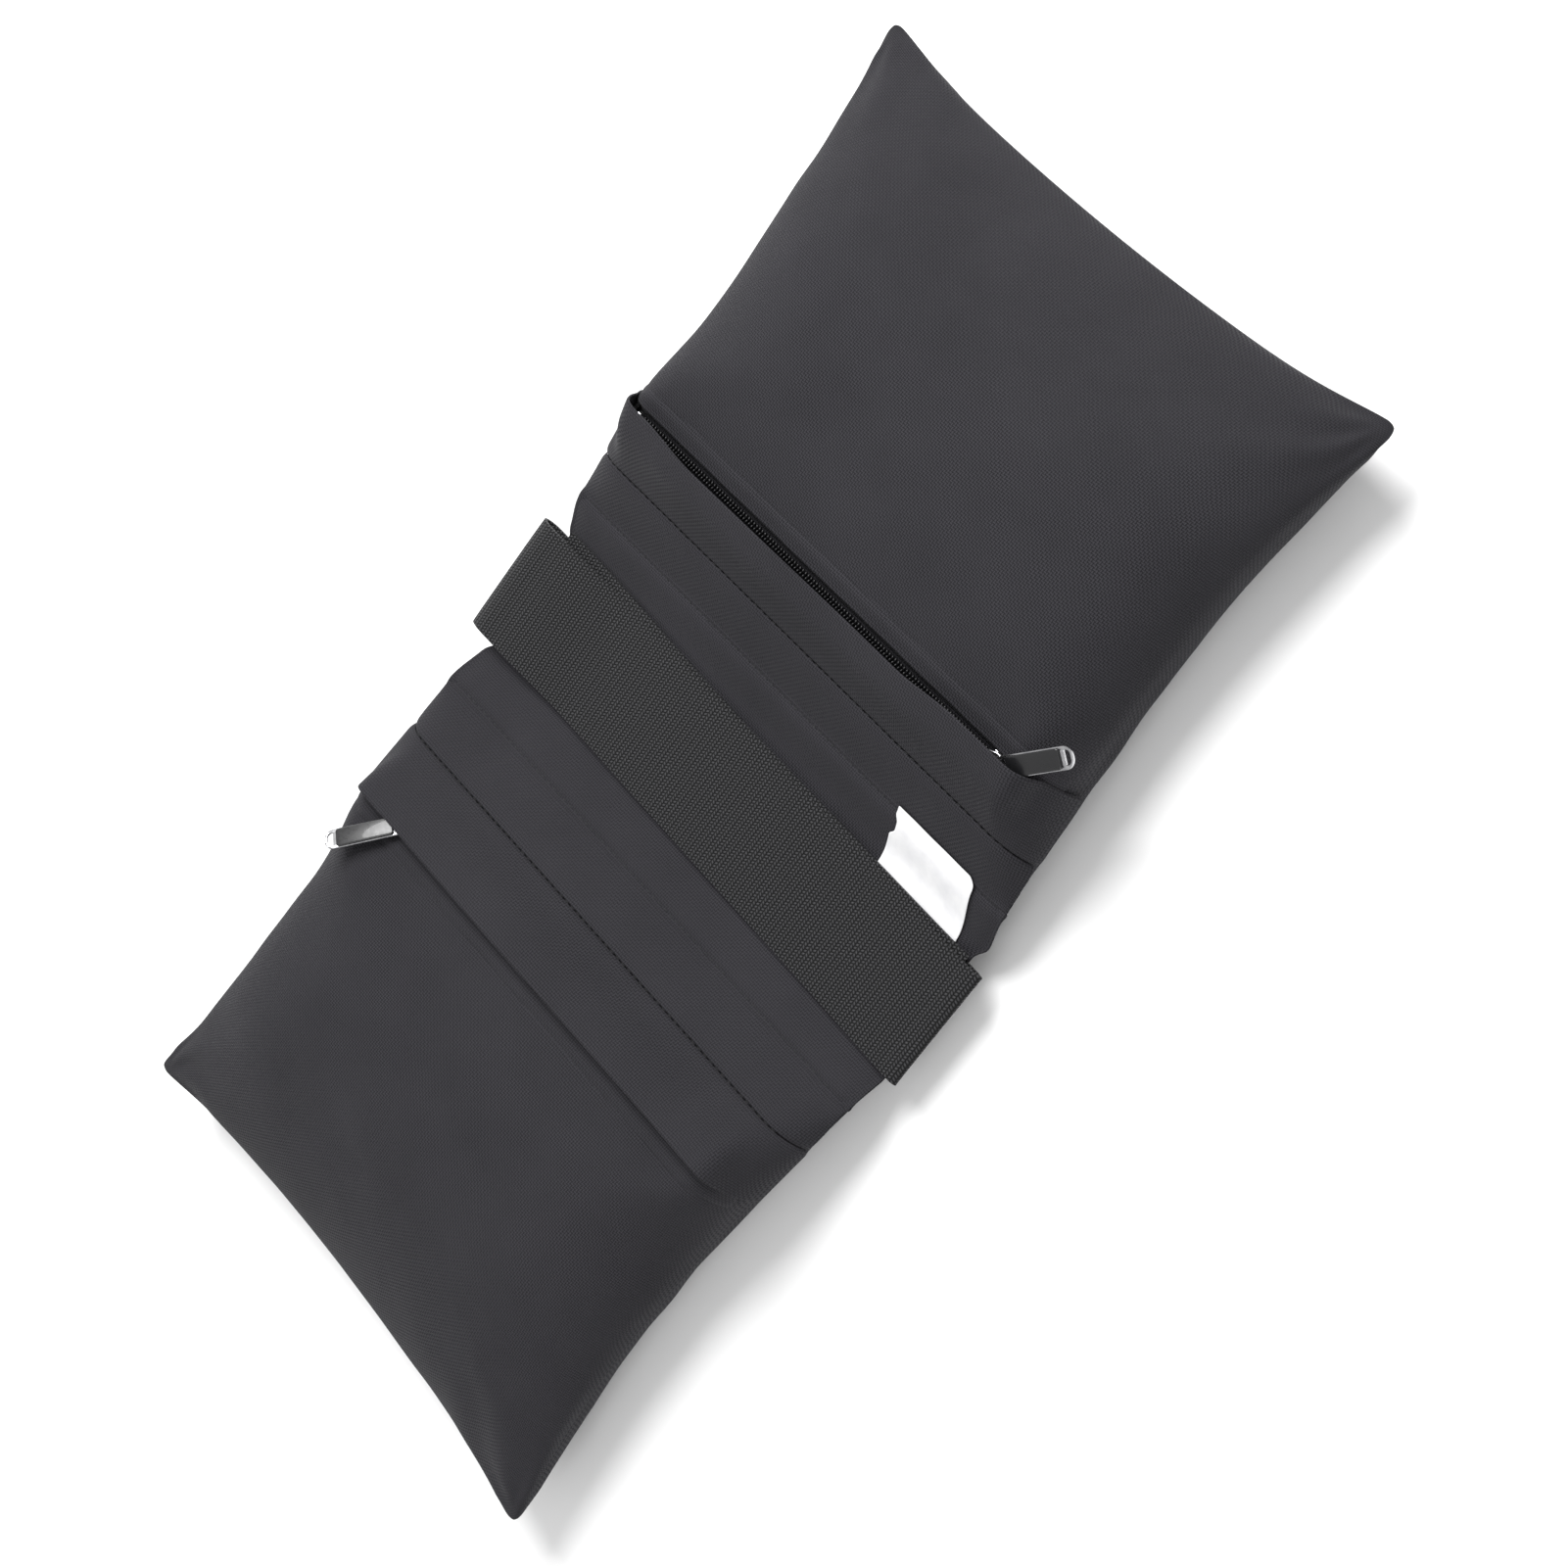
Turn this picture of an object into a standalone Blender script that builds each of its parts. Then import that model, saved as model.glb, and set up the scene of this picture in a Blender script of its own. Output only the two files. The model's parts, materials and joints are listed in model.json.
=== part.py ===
"""Saddle sandbag: two filled pouches joined by a sewn saddle, with flaps over the zips and a webbing handle.

+X runs across the bag and +Y along it. The bag lies flat on z = 0, with its middle at x = y = 0.
Pouch "a" lies at +Y. Pouch "b" is the same pouch turned half a turn about Z.
"""

import math

import bmesh
import bpy
from mathutils import Matrix, Vector

# Whole bag, from tip to tip
BAG_WIDTH = 0.240
BAG_LENGTH = 0.500
BAG_HEIGHT = 0.055
SIDE_DRAW = 0.007  # how far a filled pouch draws its side seams in
END_DRAW = 0.006  # the same for its end seam

# Cloth, and the gap kept between layers that touch
SKIN = 0.0009
GAP = 0.0003

# Saddle between the pouches
SADDLE_HALF = 0.046  # from the middle to the cross seam
SADDLE_LOW = 0.012  # height of its top where the webbing lies
SEAM_HEIGHT = 0.020  # height of the cross seam
TIP_RISE = 0.006  # how much higher the end seam lies than the cross seam
SADDLE_DRAW = 0.003  # how far its sides lie inside the bag's full width
FOLD = 0.001  # from the cross seam to the fold line, and on to the pouch
FOLD_DROP = 0.0011  # fold line below the cross seam
SADDLE_ROWS = 60

# Pouch shape, with its places along Y counted from the cross seam
PEAK_Y = SADDLE_HALF + 0.114  # where the pouch is highest
SHOULDER = 0.0155  # width of the round shoulder beside the zip
SHOULDER_FADE = 0.050  # distance past the flap over which the shoulder widens
FLAT_FAR = 0.50  # share of the half width that is flat over the filled middle
NEAR_POWER = 2.4  # how soon the top rises from the cross seam
FAR_POWER = 0.8  # how fully it falls to the end seam
BASE_NEAR = SADDLE_HALF + 0.039  # the underside is flat from here
BASE_FAR = 0.033  # to this far from the end seam
BASE_FLAT = 0.82  # share of the half width that is flat underneath
BASE_NEAR_POWER = 2.2
BASE_FAR_POWER = 0.7
BASE_SIDE_POWER = 0.6

# Zip
ZIP_Y = SADDLE_HALF + 0.042
ZIP_HALF = BAG_WIDTH / 2 - 0.019  # half the chain's length
CHAIN_ROUND = 0.0005
CHAIN_WIDTH = 0.004
CHAIN_HEIGHT = 0.0019
TAPE_THICK = 0.0006
TAPE_WIDTH = 0.0078
TAPE_SHOWN = 0.0022  # tape left uncovered beside the chain
STOP_LENGTH = 0.002
STOP_PROUD = 0.0005  # stop above the chain's top
STOP_ROUND = 0.0003

# Slider and pull
SLIDER_LENGTH = 0.012
SLIDER_WIDTH = 0.0086
SLIDER_ROOF = 0.0011
SLIDER_CLEAR = 0.0003
BRIDGE_LENGTH = 0.0062
BRIDGE_POST = 0.001
BRIDGE_WIDTH = 0.0012
BRIDGE_ROOM = 0.0018  # headroom under the bridge
SLIDER_SHORT = {"a": 0.0, "b": 0.015}  # how far short of the top stop it rests
PULL_LENGTH = 0.034
PULL_WIDTH = 0.008
PULL_THICK = 0.001
PULL_RIM = 0.0011
PULL_EYE = 0.0042
PULL_CORNER = 0.0004
EYE_CORNER = 0.0003
SLOT_LENGTH = 0.0022
SLOT_WIDTH = 0.004
SLOT_RIM = 0.00176
SLOT_CORNER = 0.0009
CUTTER_DEPTH = 0.010  # reaches through the plate
PULL_SWING = {"a": math.radians(48), "b": math.radians(56)}
INLAY_LENGTH = 0.020
INLAY_THICK = 0.0008
INLAY_CORNER = 0.001

# Storm flap
FLAP_SEAM_Y = SADDLE_HALF + 0.020
FLAP_EDGE_Y = ZIP_Y + 0.005
FLAP_THICK = 0.0012
FLAP_ROOM = 0.0062  # headroom for the slider
FLAP_RISE = 0.016  # distance over which it reaches that headroom
FLAP_FALL = 0.010  # distance over which it drops again beyond the zip's ends

# Webbing
WEB_WIDTH = 0.050
WEB_THICK = 0.0013
WEB_END = BAG_WIDTH / 2 - 0.0035
BIGHT_REACH = BAG_WIDTH / 2 + 0.0055
BIGHT_BELLY = 0.0012
GRIP_HALF = 0.060

# Blank label
LABEL_WIDTH = 0.041
LABEL_X = BAG_WIDTH / 2 - 0.013 - LABEL_WIDTH / 2
LABEL_THICK = 0.0004
LABEL_CHAMFER = 0.004
LABEL_CLEAR = 0.0004  # short of the cross seam

# Filling
LINER_CLEAR = 0.0030
LINER_THICK = 0.0005
FILL_CLEAR = 0.0015
LINER_MOUTH = SADDLE_HALF + 0.020
LINER_FAR = 0.016  # short of the end seam
FILL_LEVEL = 0.006  # sand below the liner's mouth
FILL_WIDE = 0.93  # share of the pouch's half width
SECTION_POWER = 0.72
SECTION_POINTS = 28
SECTIONS = 10

STEP = 1e-4
HALF_TURN = Matrix.Rotation(math.pi, 4, "Z")


def clear_scene():
    for thing in list(bpy.data.objects):
        bpy.data.objects.remove(thing)


def material(name, colour, roughness, metallic=0.0):
    made = bpy.data.materials.new(name)
    made.use_nodes = True
    shader = made.node_tree.nodes["Principled BSDF"]
    shader.inputs["Base Color"].default_value = (*colour, 1.0)
    shader.inputs["Roughness"].default_value = roughness
    shader.inputs["Metallic"].default_value = metallic
    made.diffuse_color = (*colour, 1.0)
    return made


def smooth(t):
    t = min(max(t, 0.0), 1.0)
    return t * t * (3 - 2 * t)


def shoulder(share, flat, power=0.5):
    """1 over the flat middle, then a round drop to 0 at the edge."""
    t = min(max((share - flat) / (1 - flat), 0.0), 1.0)
    return (1 - t * t) ** power


# The bag's form, as functions of x and y for the pouch at +Y


def half_width(y):
    t = (y - SADDLE_HALF) / (BAG_LENGTH / 2 - SADDLE_HALF)
    return BAG_WIDTH / 2 - SIDE_DRAW * math.sin(math.pi * min(max(t, 0.0), 1.0))


def end_of(x):
    share = min(abs(x) / (BAG_WIDTH / 2), 1.0)
    return BAG_LENGTH / 2 - END_DRAW * (1 - share * share)


def seam_height(y):
    t = (y - SADDLE_HALF) / (BAG_LENGTH / 2 - SADDLE_HALF)
    return SEAM_HEIGHT + TIP_RISE * smooth(t)


def top_height(x, y):
    share = abs(x) / half_width(y)
    near = 1 - SHOULDER / half_width(y)
    flat = near - (near - FLAT_FAR) * smooth((y - FLAP_EDGE_Y) / SHOULDER_FADE)
    if y < PEAK_Y:
        along = 1 - max(1 - (y - SADDLE_HALF) / (PEAK_Y - SADDLE_HALF), 0.0) ** NEAR_POWER
    else:
        along = shoulder((y - PEAK_Y) / (end_of(x) - PEAK_Y), 0.0, FAR_POWER)
    low = seam_height(y)
    return low + GAP / 2 + (BAG_HEIGHT - GAP / 2 - low) * shoulder(share, flat) * along


def base_height(x, y):
    share = abs(x) / half_width(y)
    if y < BASE_NEAR:
        along = 1 - (1 - (y - SADDLE_HALF) / (BASE_NEAR - SADDLE_HALF)) ** BASE_NEAR_POWER
    else:
        along = shoulder((y - end_of(x) + BASE_FAR) / BASE_FAR, 0.0, BASE_FAR_POWER)
    low = seam_height(y) - GAP / 2
    return low - low * shoulder(share, BASE_FLAT, BASE_SIDE_POWER) * along


def top_point(x, y):
    return Vector((x, y, top_height(x, y)))


def base_point(x, y):
    return Vector((x, y, base_height(x, y)))


def outward(surface, x, y):
    """Unit normal of a surface given as a function of x and y, pointing up."""
    edge = half_width(y) - 2 * STEP
    far = end_of(x) - 2 * STEP
    x = min(max(x, -edge), edge)
    y = min(y, far)
    along_x = surface(x + STEP, y) - surface(x - STEP, y)
    along_y = surface(x, y + STEP) - surface(x, y - STEP)
    return along_x.cross(along_y).normalized()


def lifted(surface, lift):
    """The surface moved along its own normal by lift, a function of x and y."""

    def moved(x, y):
        return surface(x, y) + outward(surface, x, y) * lift(x, y)

    return moved


def saddle_height(y):
    rise = smooth((abs(y) - WEB_WIDTH / 2) / (SADDLE_HALF - WEB_WIDTH / 2))
    return SADDLE_LOW + (SEAM_HEIGHT + GAP / 2 + SKIN - SADDLE_LOW) * rise


def zip_frame():
    """A frame on the chain's line: +X along the zip, +Z out of the cloth."""
    up = outward(top_point, 0.0, ZIP_Y)
    across = Vector((1, 0, 0))
    turned = Matrix((across, up.cross(across), up)).transposed().to_4x4()
    return Matrix.Translation(top_point(0.0, ZIP_Y)) @ turned


# Solids


def face_outwards(mesh):
    bmesh.ops.recalc_face_normals(mesh, faces=mesh.faces)
    if mesh.calc_volume(signed=True) < 0:
        bmesh.ops.reverse_faces(mesh, faces=mesh.faces)


def finish(name, mesh, paint, turn=None, origin=None):
    """Makes a bmesh into an object, turned into its pouch's place, its origin moved onto its joint."""
    face_outwards(mesh)
    if turn:
        mesh.transform(turn)
    place = (turn or Matrix.Identity(4)) @ (origin or Vector((0, 0, 0)))
    mesh.transform(Matrix.Translation(-place))
    data = bpy.data.meshes.new(name)
    mesh.to_mesh(data)
    mesh.free()
    data.shade_smooth()
    data.set_sharp_from_angle(angle=math.radians(35))
    data.materials.append(paint)
    made = bpy.data.objects.new(name, data)
    made.location = place
    bpy.context.collection.objects.link(made)
    return made


def spread(low, high, count):
    return [low + (high - low) * i / count for i in range(count + 1)]


def sheet(surface, columns, rows, thick, keep=None):
    """A closed sheet whose outer side is the surface. Each row gives (x, y) for an x share of -1 to 1."""
    mesh = bmesh.new()
    layers = []
    for depth in (0.0, thick):
        grid = []
        for row in rows:
            line = []
            for share in columns:
                x, y = row(share)
                point = surface(x, y) - outward(surface, x, y) * depth
                if keep:
                    point = keep(point)
                line.append(mesh.verts.new(point))
            grid.append(line)
        layers.append(grid)
    outer, inner = layers
    last_row, last_column = len(rows) - 1, len(columns) - 1
    for grid in layers:
        for i in range(last_row):
            for j in range(last_column):
                mesh.faces.new((grid[i][j], grid[i][j + 1], grid[i + 1][j + 1], grid[i + 1][j]))
    rim = [(0, j) for j in range(last_column)]
    rim += [(i, last_column) for i in range(last_row)]
    rim += [(last_row, j) for j in range(last_column, 0, -1)]
    rim += [(i, 0) for i in range(last_row, 0, -1)]
    for (i, j), (k, m) in zip(rim, rim[1:] + rim[:1]):
        mesh.faces.new((outer[i][j], outer[k][m], inner[k][m], inner[i][j]))
    return mesh


def above_seam(point):
    low = seam_height(point.y) + GAP / 2
    return Vector((point.x, point.y, max(point.z, low)))


def below_seam(point):
    high = seam_height(point.y) - GAP / 2
    return Vector((point.x, point.y, min(point.z, high)))


def straight_row(y):
    def row(share):
        return share * half_width(y), y

    return row


def pouch_row(start, t):
    """A row between the straight line y = start and the curved end seam, at t from 0 to 1."""

    def row(share):
        y = start
        for _ in range(3):
            x = share * half_width(y)
            y = start + (end_of(x) - start) * t
        return share * half_width(y), y

    return row


def columns_of(count):
    """Shares of -1 to 1, closer together over the shoulders. Layers that lie close share them."""
    return [math.sin(math.pi / 2 * t) for t in spread(-1.0, 1.0, count)]


ACROSS = columns_of(20)
INSIDE = ACROSS[1:-1]


def box(low, high):
    mesh = bmesh.new()
    bmesh.ops.create_cube(mesh, size=1.0)
    size = Vector(high) - Vector(low)
    middle = (Vector(high) + Vector(low)) / 2
    mesh.transform(Matrix.Translation(middle) @ Matrix.Diagonal((*size, 1.0)))
    return mesh


def bevelled(mesh, width, along=None, segments=2):
    """Rounds the edges, or only those that run along one axis."""
    edges = mesh.edges[:]
    if along is not None:
        edges = [e for e in edges if abs((e.verts[0].co - e.verts[1].co).normalized()[along]) > 0.99]
    bmesh.ops.bevel(
        mesh, geom=edges, offset=width, segments=segments, profile=0.5, affect="EDGES", material=-1
    )
    return mesh


def extruded(outline, depth):
    """A prism from an outline of (x, y) points, from z = 0 to depth."""
    mesh = bmesh.new()
    face = mesh.faces.new([mesh.verts.new((x, y, 0.0)) for x, y in outline])
    grown = bmesh.ops.extrude_face_region(mesh, geom=[face])
    risen = [v for v in grown["geom"] if isinstance(v, bmesh.types.BMVert)]
    bmesh.ops.translate(mesh, verts=risen, vec=(0, 0, depth))
    return mesh


# Saddle, webbing, handle and label


def saddle_skin(name, drop, paint):
    half = BAG_WIDTH / 2 - SADDLE_DRAW

    def surface(x, y):
        return Vector((x, y, saddle_height(y) - drop))

    def row_at(y):
        return lambda share: (share * half, y)

    rows = [row_at(SADDLE_HALF * t) for t in spread(-1.0, 1.0, SADDLE_ROWS)]
    return finish(name, sheet(surface, (-1.0, 0.0, 1.0), rows, SKIN), paint)


def webbing_layer(name, low_x, high_x, level, paint):
    low_z = SADDLE_LOW + GAP + level * (WEB_THICK + GAP)
    mesh = box((low_x, -WEB_WIDTH / 2, low_z), (high_x, WEB_WIDTH / 2, low_z + WEB_THICK))
    return finish(name, bevelled(mesh, WEB_THICK / 4, along=0, segments=1), paint)


def bight(name, side, paint):
    """The turn at the saddle's side, where the sewn webbing comes back as the handle."""
    low = SADDLE_LOW + GAP + WEB_THICK / 2
    high = low + WEB_THICK + GAP
    start = WEB_END + GAP
    reach = (BIGHT_REACH - WEB_THICK / 2 - start) / 0.75
    ends = (Vector((start, low)), Vector((start, high)))
    pulls = (
        Vector((start + reach, low - BIGHT_BELLY)),
        Vector((start + reach, high + BIGHT_BELLY)),
    )
    line = []
    for t in spread(0.0, 1.0, 14):
        s = 1 - t
        line.append(
            ends[0] * s**3 + pulls[0] * 3 * s * s * t + pulls[1] * 3 * s * t * t + ends[1] * t**3
        )
    outline = []
    for offset in (WEB_THICK / 2, -WEB_THICK / 2):
        rail = []
        for i, point in enumerate(line):
            ahead = line[min(i + 1, len(line) - 1)] - line[max(i - 1, 0)]
            if i in (0, len(line) - 1):
                ahead = Vector((1.0 if i == 0 else -1.0, 0.0))
            normal = Vector((ahead.y, -ahead.x)).normalized()
            rail.append(point + normal * offset)
        outline += rail if offset > 0 else rail[::-1]
    mesh = extruded([(p.x, p.y) for p in outline], WEB_WIDTH)
    stand = Matrix.Translation((0, WEB_WIDTH / 2, 0)) @ Matrix.Rotation(math.pi / 2, 4, "X")
    mesh.transform(Matrix.Diagonal((side, 1.0, 1.0, 1.0)) @ stand)
    return finish(name, mesh, paint)


def label(paint):
    """A blank tag sewn in under the handle's edge, its chamfered corner at the outer end."""
    start = WEB_WIDTH / 2 + 2 * GAP
    length = SADDLE_HALF - LABEL_CLEAR - start
    low_x = LABEL_X - LABEL_WIDTH / 2

    def surface(x, y):
        return Vector((x, y, saddle_height(y) + GAP + LABEL_THICK))

    def row_at(y):
        cut = LABEL_CHAMFER * smooth((y - start - length + LABEL_CHAMFER) / LABEL_CHAMFER)
        return lambda share: (low_x + (LABEL_WIDTH - cut) * (share + 1) / 2, y)

    rows = [row_at(start + length * t) for t in spread(0.0, 1.0, 10)]
    mesh = sheet(surface, (-1.0, 0.0, 1.0), rows, LABEL_THICK)
    return finish("label", mesh, paint, origin=Vector((LABEL_X, start, SADDLE_LOW + GAP)))


# One pouch. Every function takes the pouch's letter and its turn.


def panels(tag, turn, paint):
    start = SADDLE_HALF + 2 * FOLD
    edge = ZIP_Y - CHAIN_WIDTH / 2 - TAPE_SHOWN
    rows = [straight_row(y) for y in spread(start, edge, 8)]
    finish("inner_panel_" + tag, sheet(top_point, ACROSS, rows, SKIN, above_seam), paint, turn)

    edge = ZIP_Y + CHAIN_WIDTH / 2 + TAPE_SHOWN
    rows = [pouch_row(edge, (t + smooth(t)) / 2) for t in spread(0.0, 1.0, 20)]
    finish("front_panel_" + tag, sheet(top_point, ACROSS, rows, SKIN, above_seam), paint, turn)

    # The underside's outer face points down, so its thickness is laid on above
    rows = [pouch_row(start, (t + smooth(t)) / 2) for t in spread(0.0, 1.0, 22)]
    finish("back_panel_" + tag, sheet(base_point, ACROSS, rows, -SKIN, below_seam), paint, turn)


def zip_tapes(tag, turn, paint):
    buried = SKIN + GAP
    surface = lifted(top_point, lambda x, y: -buried)
    chain_side = CHAIN_WIDTH / 2 + GAP
    for name, sign in (("inner_zip_tape_", -1), ("outer_zip_tape_", 1)):
        near = ZIP_Y + sign * chain_side
        far = near + sign * TAPE_WIDTH
        rows = [straight_row(y) for y in spread(min(near, far), max(near, far), 4)]
        finish(name + tag, sheet(surface, INSIDE, rows, TAPE_THICK), paint, turn)


def zip_chain(tag, turn, paint, metal):
    """The closed coils as one bar between the tapes, with a stop at each end."""
    place = turn @ zip_frame()
    top = GAP / 2
    mesh = box((-ZIP_HALF, -CHAIN_WIDTH / 2, top - CHAIN_HEIGHT), (ZIP_HALF, CHAIN_WIDTH / 2, top))
    finish("zip_chain_" + tag, bevelled(mesh, CHAIN_ROUND, along=0), paint, place)
    for name, sign in (("zip_top_stop_", 1), ("zip_bottom_stop_", -1)):
        near = sign * (ZIP_HALF + GAP)
        far = near + sign * STOP_LENGTH
        low = (min(near, far), -CHAIN_WIDTH / 2, top - CHAIN_HEIGHT)
        high = (max(near, far), CHAIN_WIDTH / 2, top + STOP_PROUD)
        finish(name + tag, bevelled(box(low, high), STOP_ROUND, segments=1), metal, place)


def slider_place(tag):
    """The slider rests at the closed end, against the top stop or a little short of it."""
    return zip_frame() @ Matrix.Translation((ZIP_HALF - SLIDER_LENGTH / 2 - SLIDER_SHORT[tag], 0, 0))


def slider(tag, turn, metal):
    place = turn @ slider_place(tag)
    roof = GAP / 2 + SLIDER_CLEAR
    skirt_low = -SKIN - GAP + SLIDER_CLEAR
    channel = CHAIN_WIDTH / 2 + SLIDER_CLEAR
    half, side = SLIDER_LENGTH / 2, SLIDER_WIDTH / 2
    top = roof + SLIDER_ROOF
    outline = [
        (-side, skirt_low),
        (-channel, skirt_low),
        (-channel, roof),
        (channel, roof),
        (channel, skirt_low),
        (side, skirt_low),
        (side, top),
        (-side, top),
    ]
    mesh = extruded(outline, SLIDER_LENGTH)
    lengthwise = Matrix(((0, 0, 1, -half), (1, 0, 0, 0), (0, 1, 0, 0), (0, 0, 0, 1)))
    mesh.transform(lengthwise)
    finish("slider_body_" + tag, mesh, metal, place)

    low = top + GAP
    high = low + BRIDGE_ROOM + BRIDGE_WIDTH
    inner = BRIDGE_LENGTH / 2 - BRIDGE_POST
    outer = BRIDGE_LENGTH / 2
    under = low + BRIDGE_ROOM
    arch = [
        (-outer, low),
        (-inner, low),
        (-inner, under),
        (inner, under),
        (inner, low),
        (outer, low),
        (outer, high - BRIDGE_POST),
        (outer - BRIDGE_POST, high),
        (BRIDGE_POST - outer, high),
        (-outer, high - BRIDGE_POST),
    ]
    mesh = extruded(arch, BRIDGE_WIDTH)
    mesh.transform(Matrix.Translation((0, BRIDGE_WIDTH / 2, 0)) @ Matrix.Rotation(math.pi / 2, 4, "X"))
    finish("slider_bridge_" + tag, mesh, metal, place)


def rounded_plate(low_x, high_x, width, radius, depth):
    """A plate lying from z = 0 up to depth, with round corners."""
    outline = []
    half = width / 2
    corners = ((high_x, half, 0), (low_x, half, 90), (low_x, -half, 180), (high_x, -half, 270))
    for x, y, start in corners:
        middle_x = x - math.copysign(radius, x - (low_x + high_x) / 2)
        middle_y = y - math.copysign(radius, y)
        for step in range(5):
            angle = math.radians(start + 22.5 * step)
            outline.append((middle_x + radius * math.cos(angle), middle_y + radius * math.sin(angle)))
    return extruded(outline, depth)


def cut_through(plate, cutter_mesh, name):
    """Cuts a through hole with an exact Boolean. The cutter stays as a hidden wire object."""
    data = bpy.data.meshes.new(name)
    face_outwards(cutter_mesh)
    cutter_mesh.to_mesh(data)
    cutter_mesh.free()
    cutter = bpy.data.objects.new(name, data)
    cutter.hide_render = True
    cutter.display_type = "WIRE"
    cutter.matrix_world = plate.matrix_world.copy()
    bpy.context.collection.objects.link(cutter)
    cut = plate.modifiers.new(name, "BOOLEAN")
    cut.operation = "DIFFERENCE"
    cut.solver = "EXACT"
    cut.object = cutter


def pull(tag, turn, metal, dark):
    """The pull's flat eye turns under the bridge. It lies swung out over the pouch."""
    low = GAP / 2 + SLIDER_CLEAR + SLIDER_ROOF + GAP + (BRIDGE_ROOM - PULL_THICK) / 2
    place = turn @ slider_place(tag) @ Matrix.Rotation(PULL_SWING[tag], 4, "Z")
    half_bar = PULL_THICK / 2
    plate = rounded_plate(-half_bar, PULL_LENGTH, PULL_WIDTH, PULL_CORNER, PULL_THICK)
    plate.transform(Matrix.Translation((0, 0, low)))
    body = finish("pull_tab_" + tag, plate, metal)
    body.matrix_world = place
    inside = PULL_WIDTH - 2 * PULL_RIM
    eye = rounded_plate(half_bar, half_bar + PULL_EYE, inside, EYE_CORNER, CUTTER_DEPTH)
    slot_far = PULL_LENGTH - SLOT_RIM
    slot = rounded_plate(slot_far - SLOT_LENGTH, slot_far, SLOT_WIDTH, SLOT_CORNER, CUTTER_DEPTH)
    bpy.context.view_layer.update()
    for number, hole in enumerate((eye, slot)):
        cut_through(body, hole, f"pull_cutter_{tag}_{number}")
    start = half_bar + PULL_EYE + PULL_RIM
    inlay = rounded_plate(start, start + INLAY_LENGTH, inside, INLAY_CORNER, INLAY_THICK)
    inlay.transform(Matrix.Translation((0, 0, low + PULL_THICK + GAP)))
    top = finish("pull_inlay_" + tag, inlay, dark)
    top.matrix_world = place


def storm_flap(tag, turn, paint):
    """Hinged along its seam; it bridges the zip with room for the slider and drops over the shoulders."""

    def lift(x, y):
        open_part = smooth((y - FLAP_SEAM_Y) / FLAP_RISE)
        level_part = 1 - smooth((abs(x) - ZIP_HALF - STOP_LENGTH) / FLAP_FALL)
        return GAP + FLAP_THICK + (FLAP_ROOM - GAP) * open_part * level_part

    surface = lifted(top_point, lift)
    rows = [straight_row(y) for y in spread(FLAP_SEAM_Y, FLAP_EDGE_Y, 8)]
    mesh = sheet(surface, INSIDE, rows, FLAP_THICK)
    hinge = surface(0.0, FLAP_SEAM_Y)
    finish("storm_flap_" + tag, mesh, paint, turn, origin=hinge)


def section(y, clear):
    """A rounded section of the filled pouch at y, kept clear of its cloth."""
    high = top_height(0.0, y) - SKIN - clear
    low = base_height(0.0, y) + SKIN + clear
    middle, tall = (high + low) / 2, (high - low) / 2
    wide = half_width(y) * FILL_WIDE - clear
    ring = []
    for i in range(SECTION_POINTS):
        angle = 2 * math.pi * i / SECTION_POINTS
        across, up = math.cos(angle), math.sin(angle)
        x = wide * math.copysign(abs(across) ** SECTION_POWER, across)
        z = middle + tall * math.copysign(abs(up) ** SECTION_POWER, up)
        ring.append(Vector((x, y, z)))
    return ring


def rings_of(mouth, far, clear):
    return [section(y, clear) for y in spread(mouth, far, SECTIONS)]


def loft(rings):
    """Joins rings into a tube and closes both ends."""
    mesh = bmesh.new()
    made = [[mesh.verts.new(p) for p in ring] for ring in rings]
    for one, two in zip(made, made[1:]):
        for i, corner in enumerate(one):
            j = (i + 1) % len(one)
            mesh.faces.new((corner, one[j], two[j], two[i]))
    mesh.faces.new(made[0])
    mesh.faces.new(made[-1])
    return mesh


def cup(outer, inner):
    """An open bag: the outer wall, its end, and the inner wall back to the mouth."""
    mesh = bmesh.new()
    walls = [[[mesh.verts.new(p) for p in ring] for ring in wall] for wall in (outer, inner)]
    for wall in walls:
        for one, two in zip(wall, wall[1:]):
            for i, corner in enumerate(one):
                j = (i + 1) % len(one)
                mesh.faces.new((corner, one[j], two[j], two[i]))
        mesh.faces.new(wall[-1])
    mouths = (walls[0][0], walls[1][0])
    for i, corner in enumerate(mouths[0]):
        j = (i + 1) % len(mouths[0])
        mesh.faces.new((corner, mouths[0][j], mouths[1][j], mouths[1][i]))
    return mesh


def filling(tag, turn, film, sand):
    """An open liner bag with the sand in it."""
    far = end_of(0.0) - LINER_FAR
    outer = rings_of(LINER_MOUTH, far, LINER_CLEAR)
    inner = rings_of(LINER_MOUTH, far - LINER_THICK, LINER_CLEAR + LINER_THICK)
    finish("liner_bag_" + tag, cup(outer, inner), film, turn)
    inset = LINER_CLEAR + LINER_THICK + FILL_CLEAR
    body = rings_of(LINER_MOUTH + FILL_LEVEL, far - LINER_THICK - FILL_CLEAR, inset)
    finish("sand_fill_" + tag, loft(body), sand, turn)


def joint_empty(name, place, names):
    """An empty on a joint's axis, its +X along a hinge's line. It carries the named pieces."""
    joint = bpy.data.objects.new(name, None)
    joint.empty_display_size = 0.02
    joint.matrix_world = place
    bpy.context.collection.objects.link(joint)
    bpy.context.view_layer.update()
    for piece in names:
        child = bpy.data.objects[piece]
        world = child.matrix_world.copy()
        child.parent = joint
        child.matrix_parent_inverse = joint.matrix_world.inverted()
        child.matrix_world = world
    return joint


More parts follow.
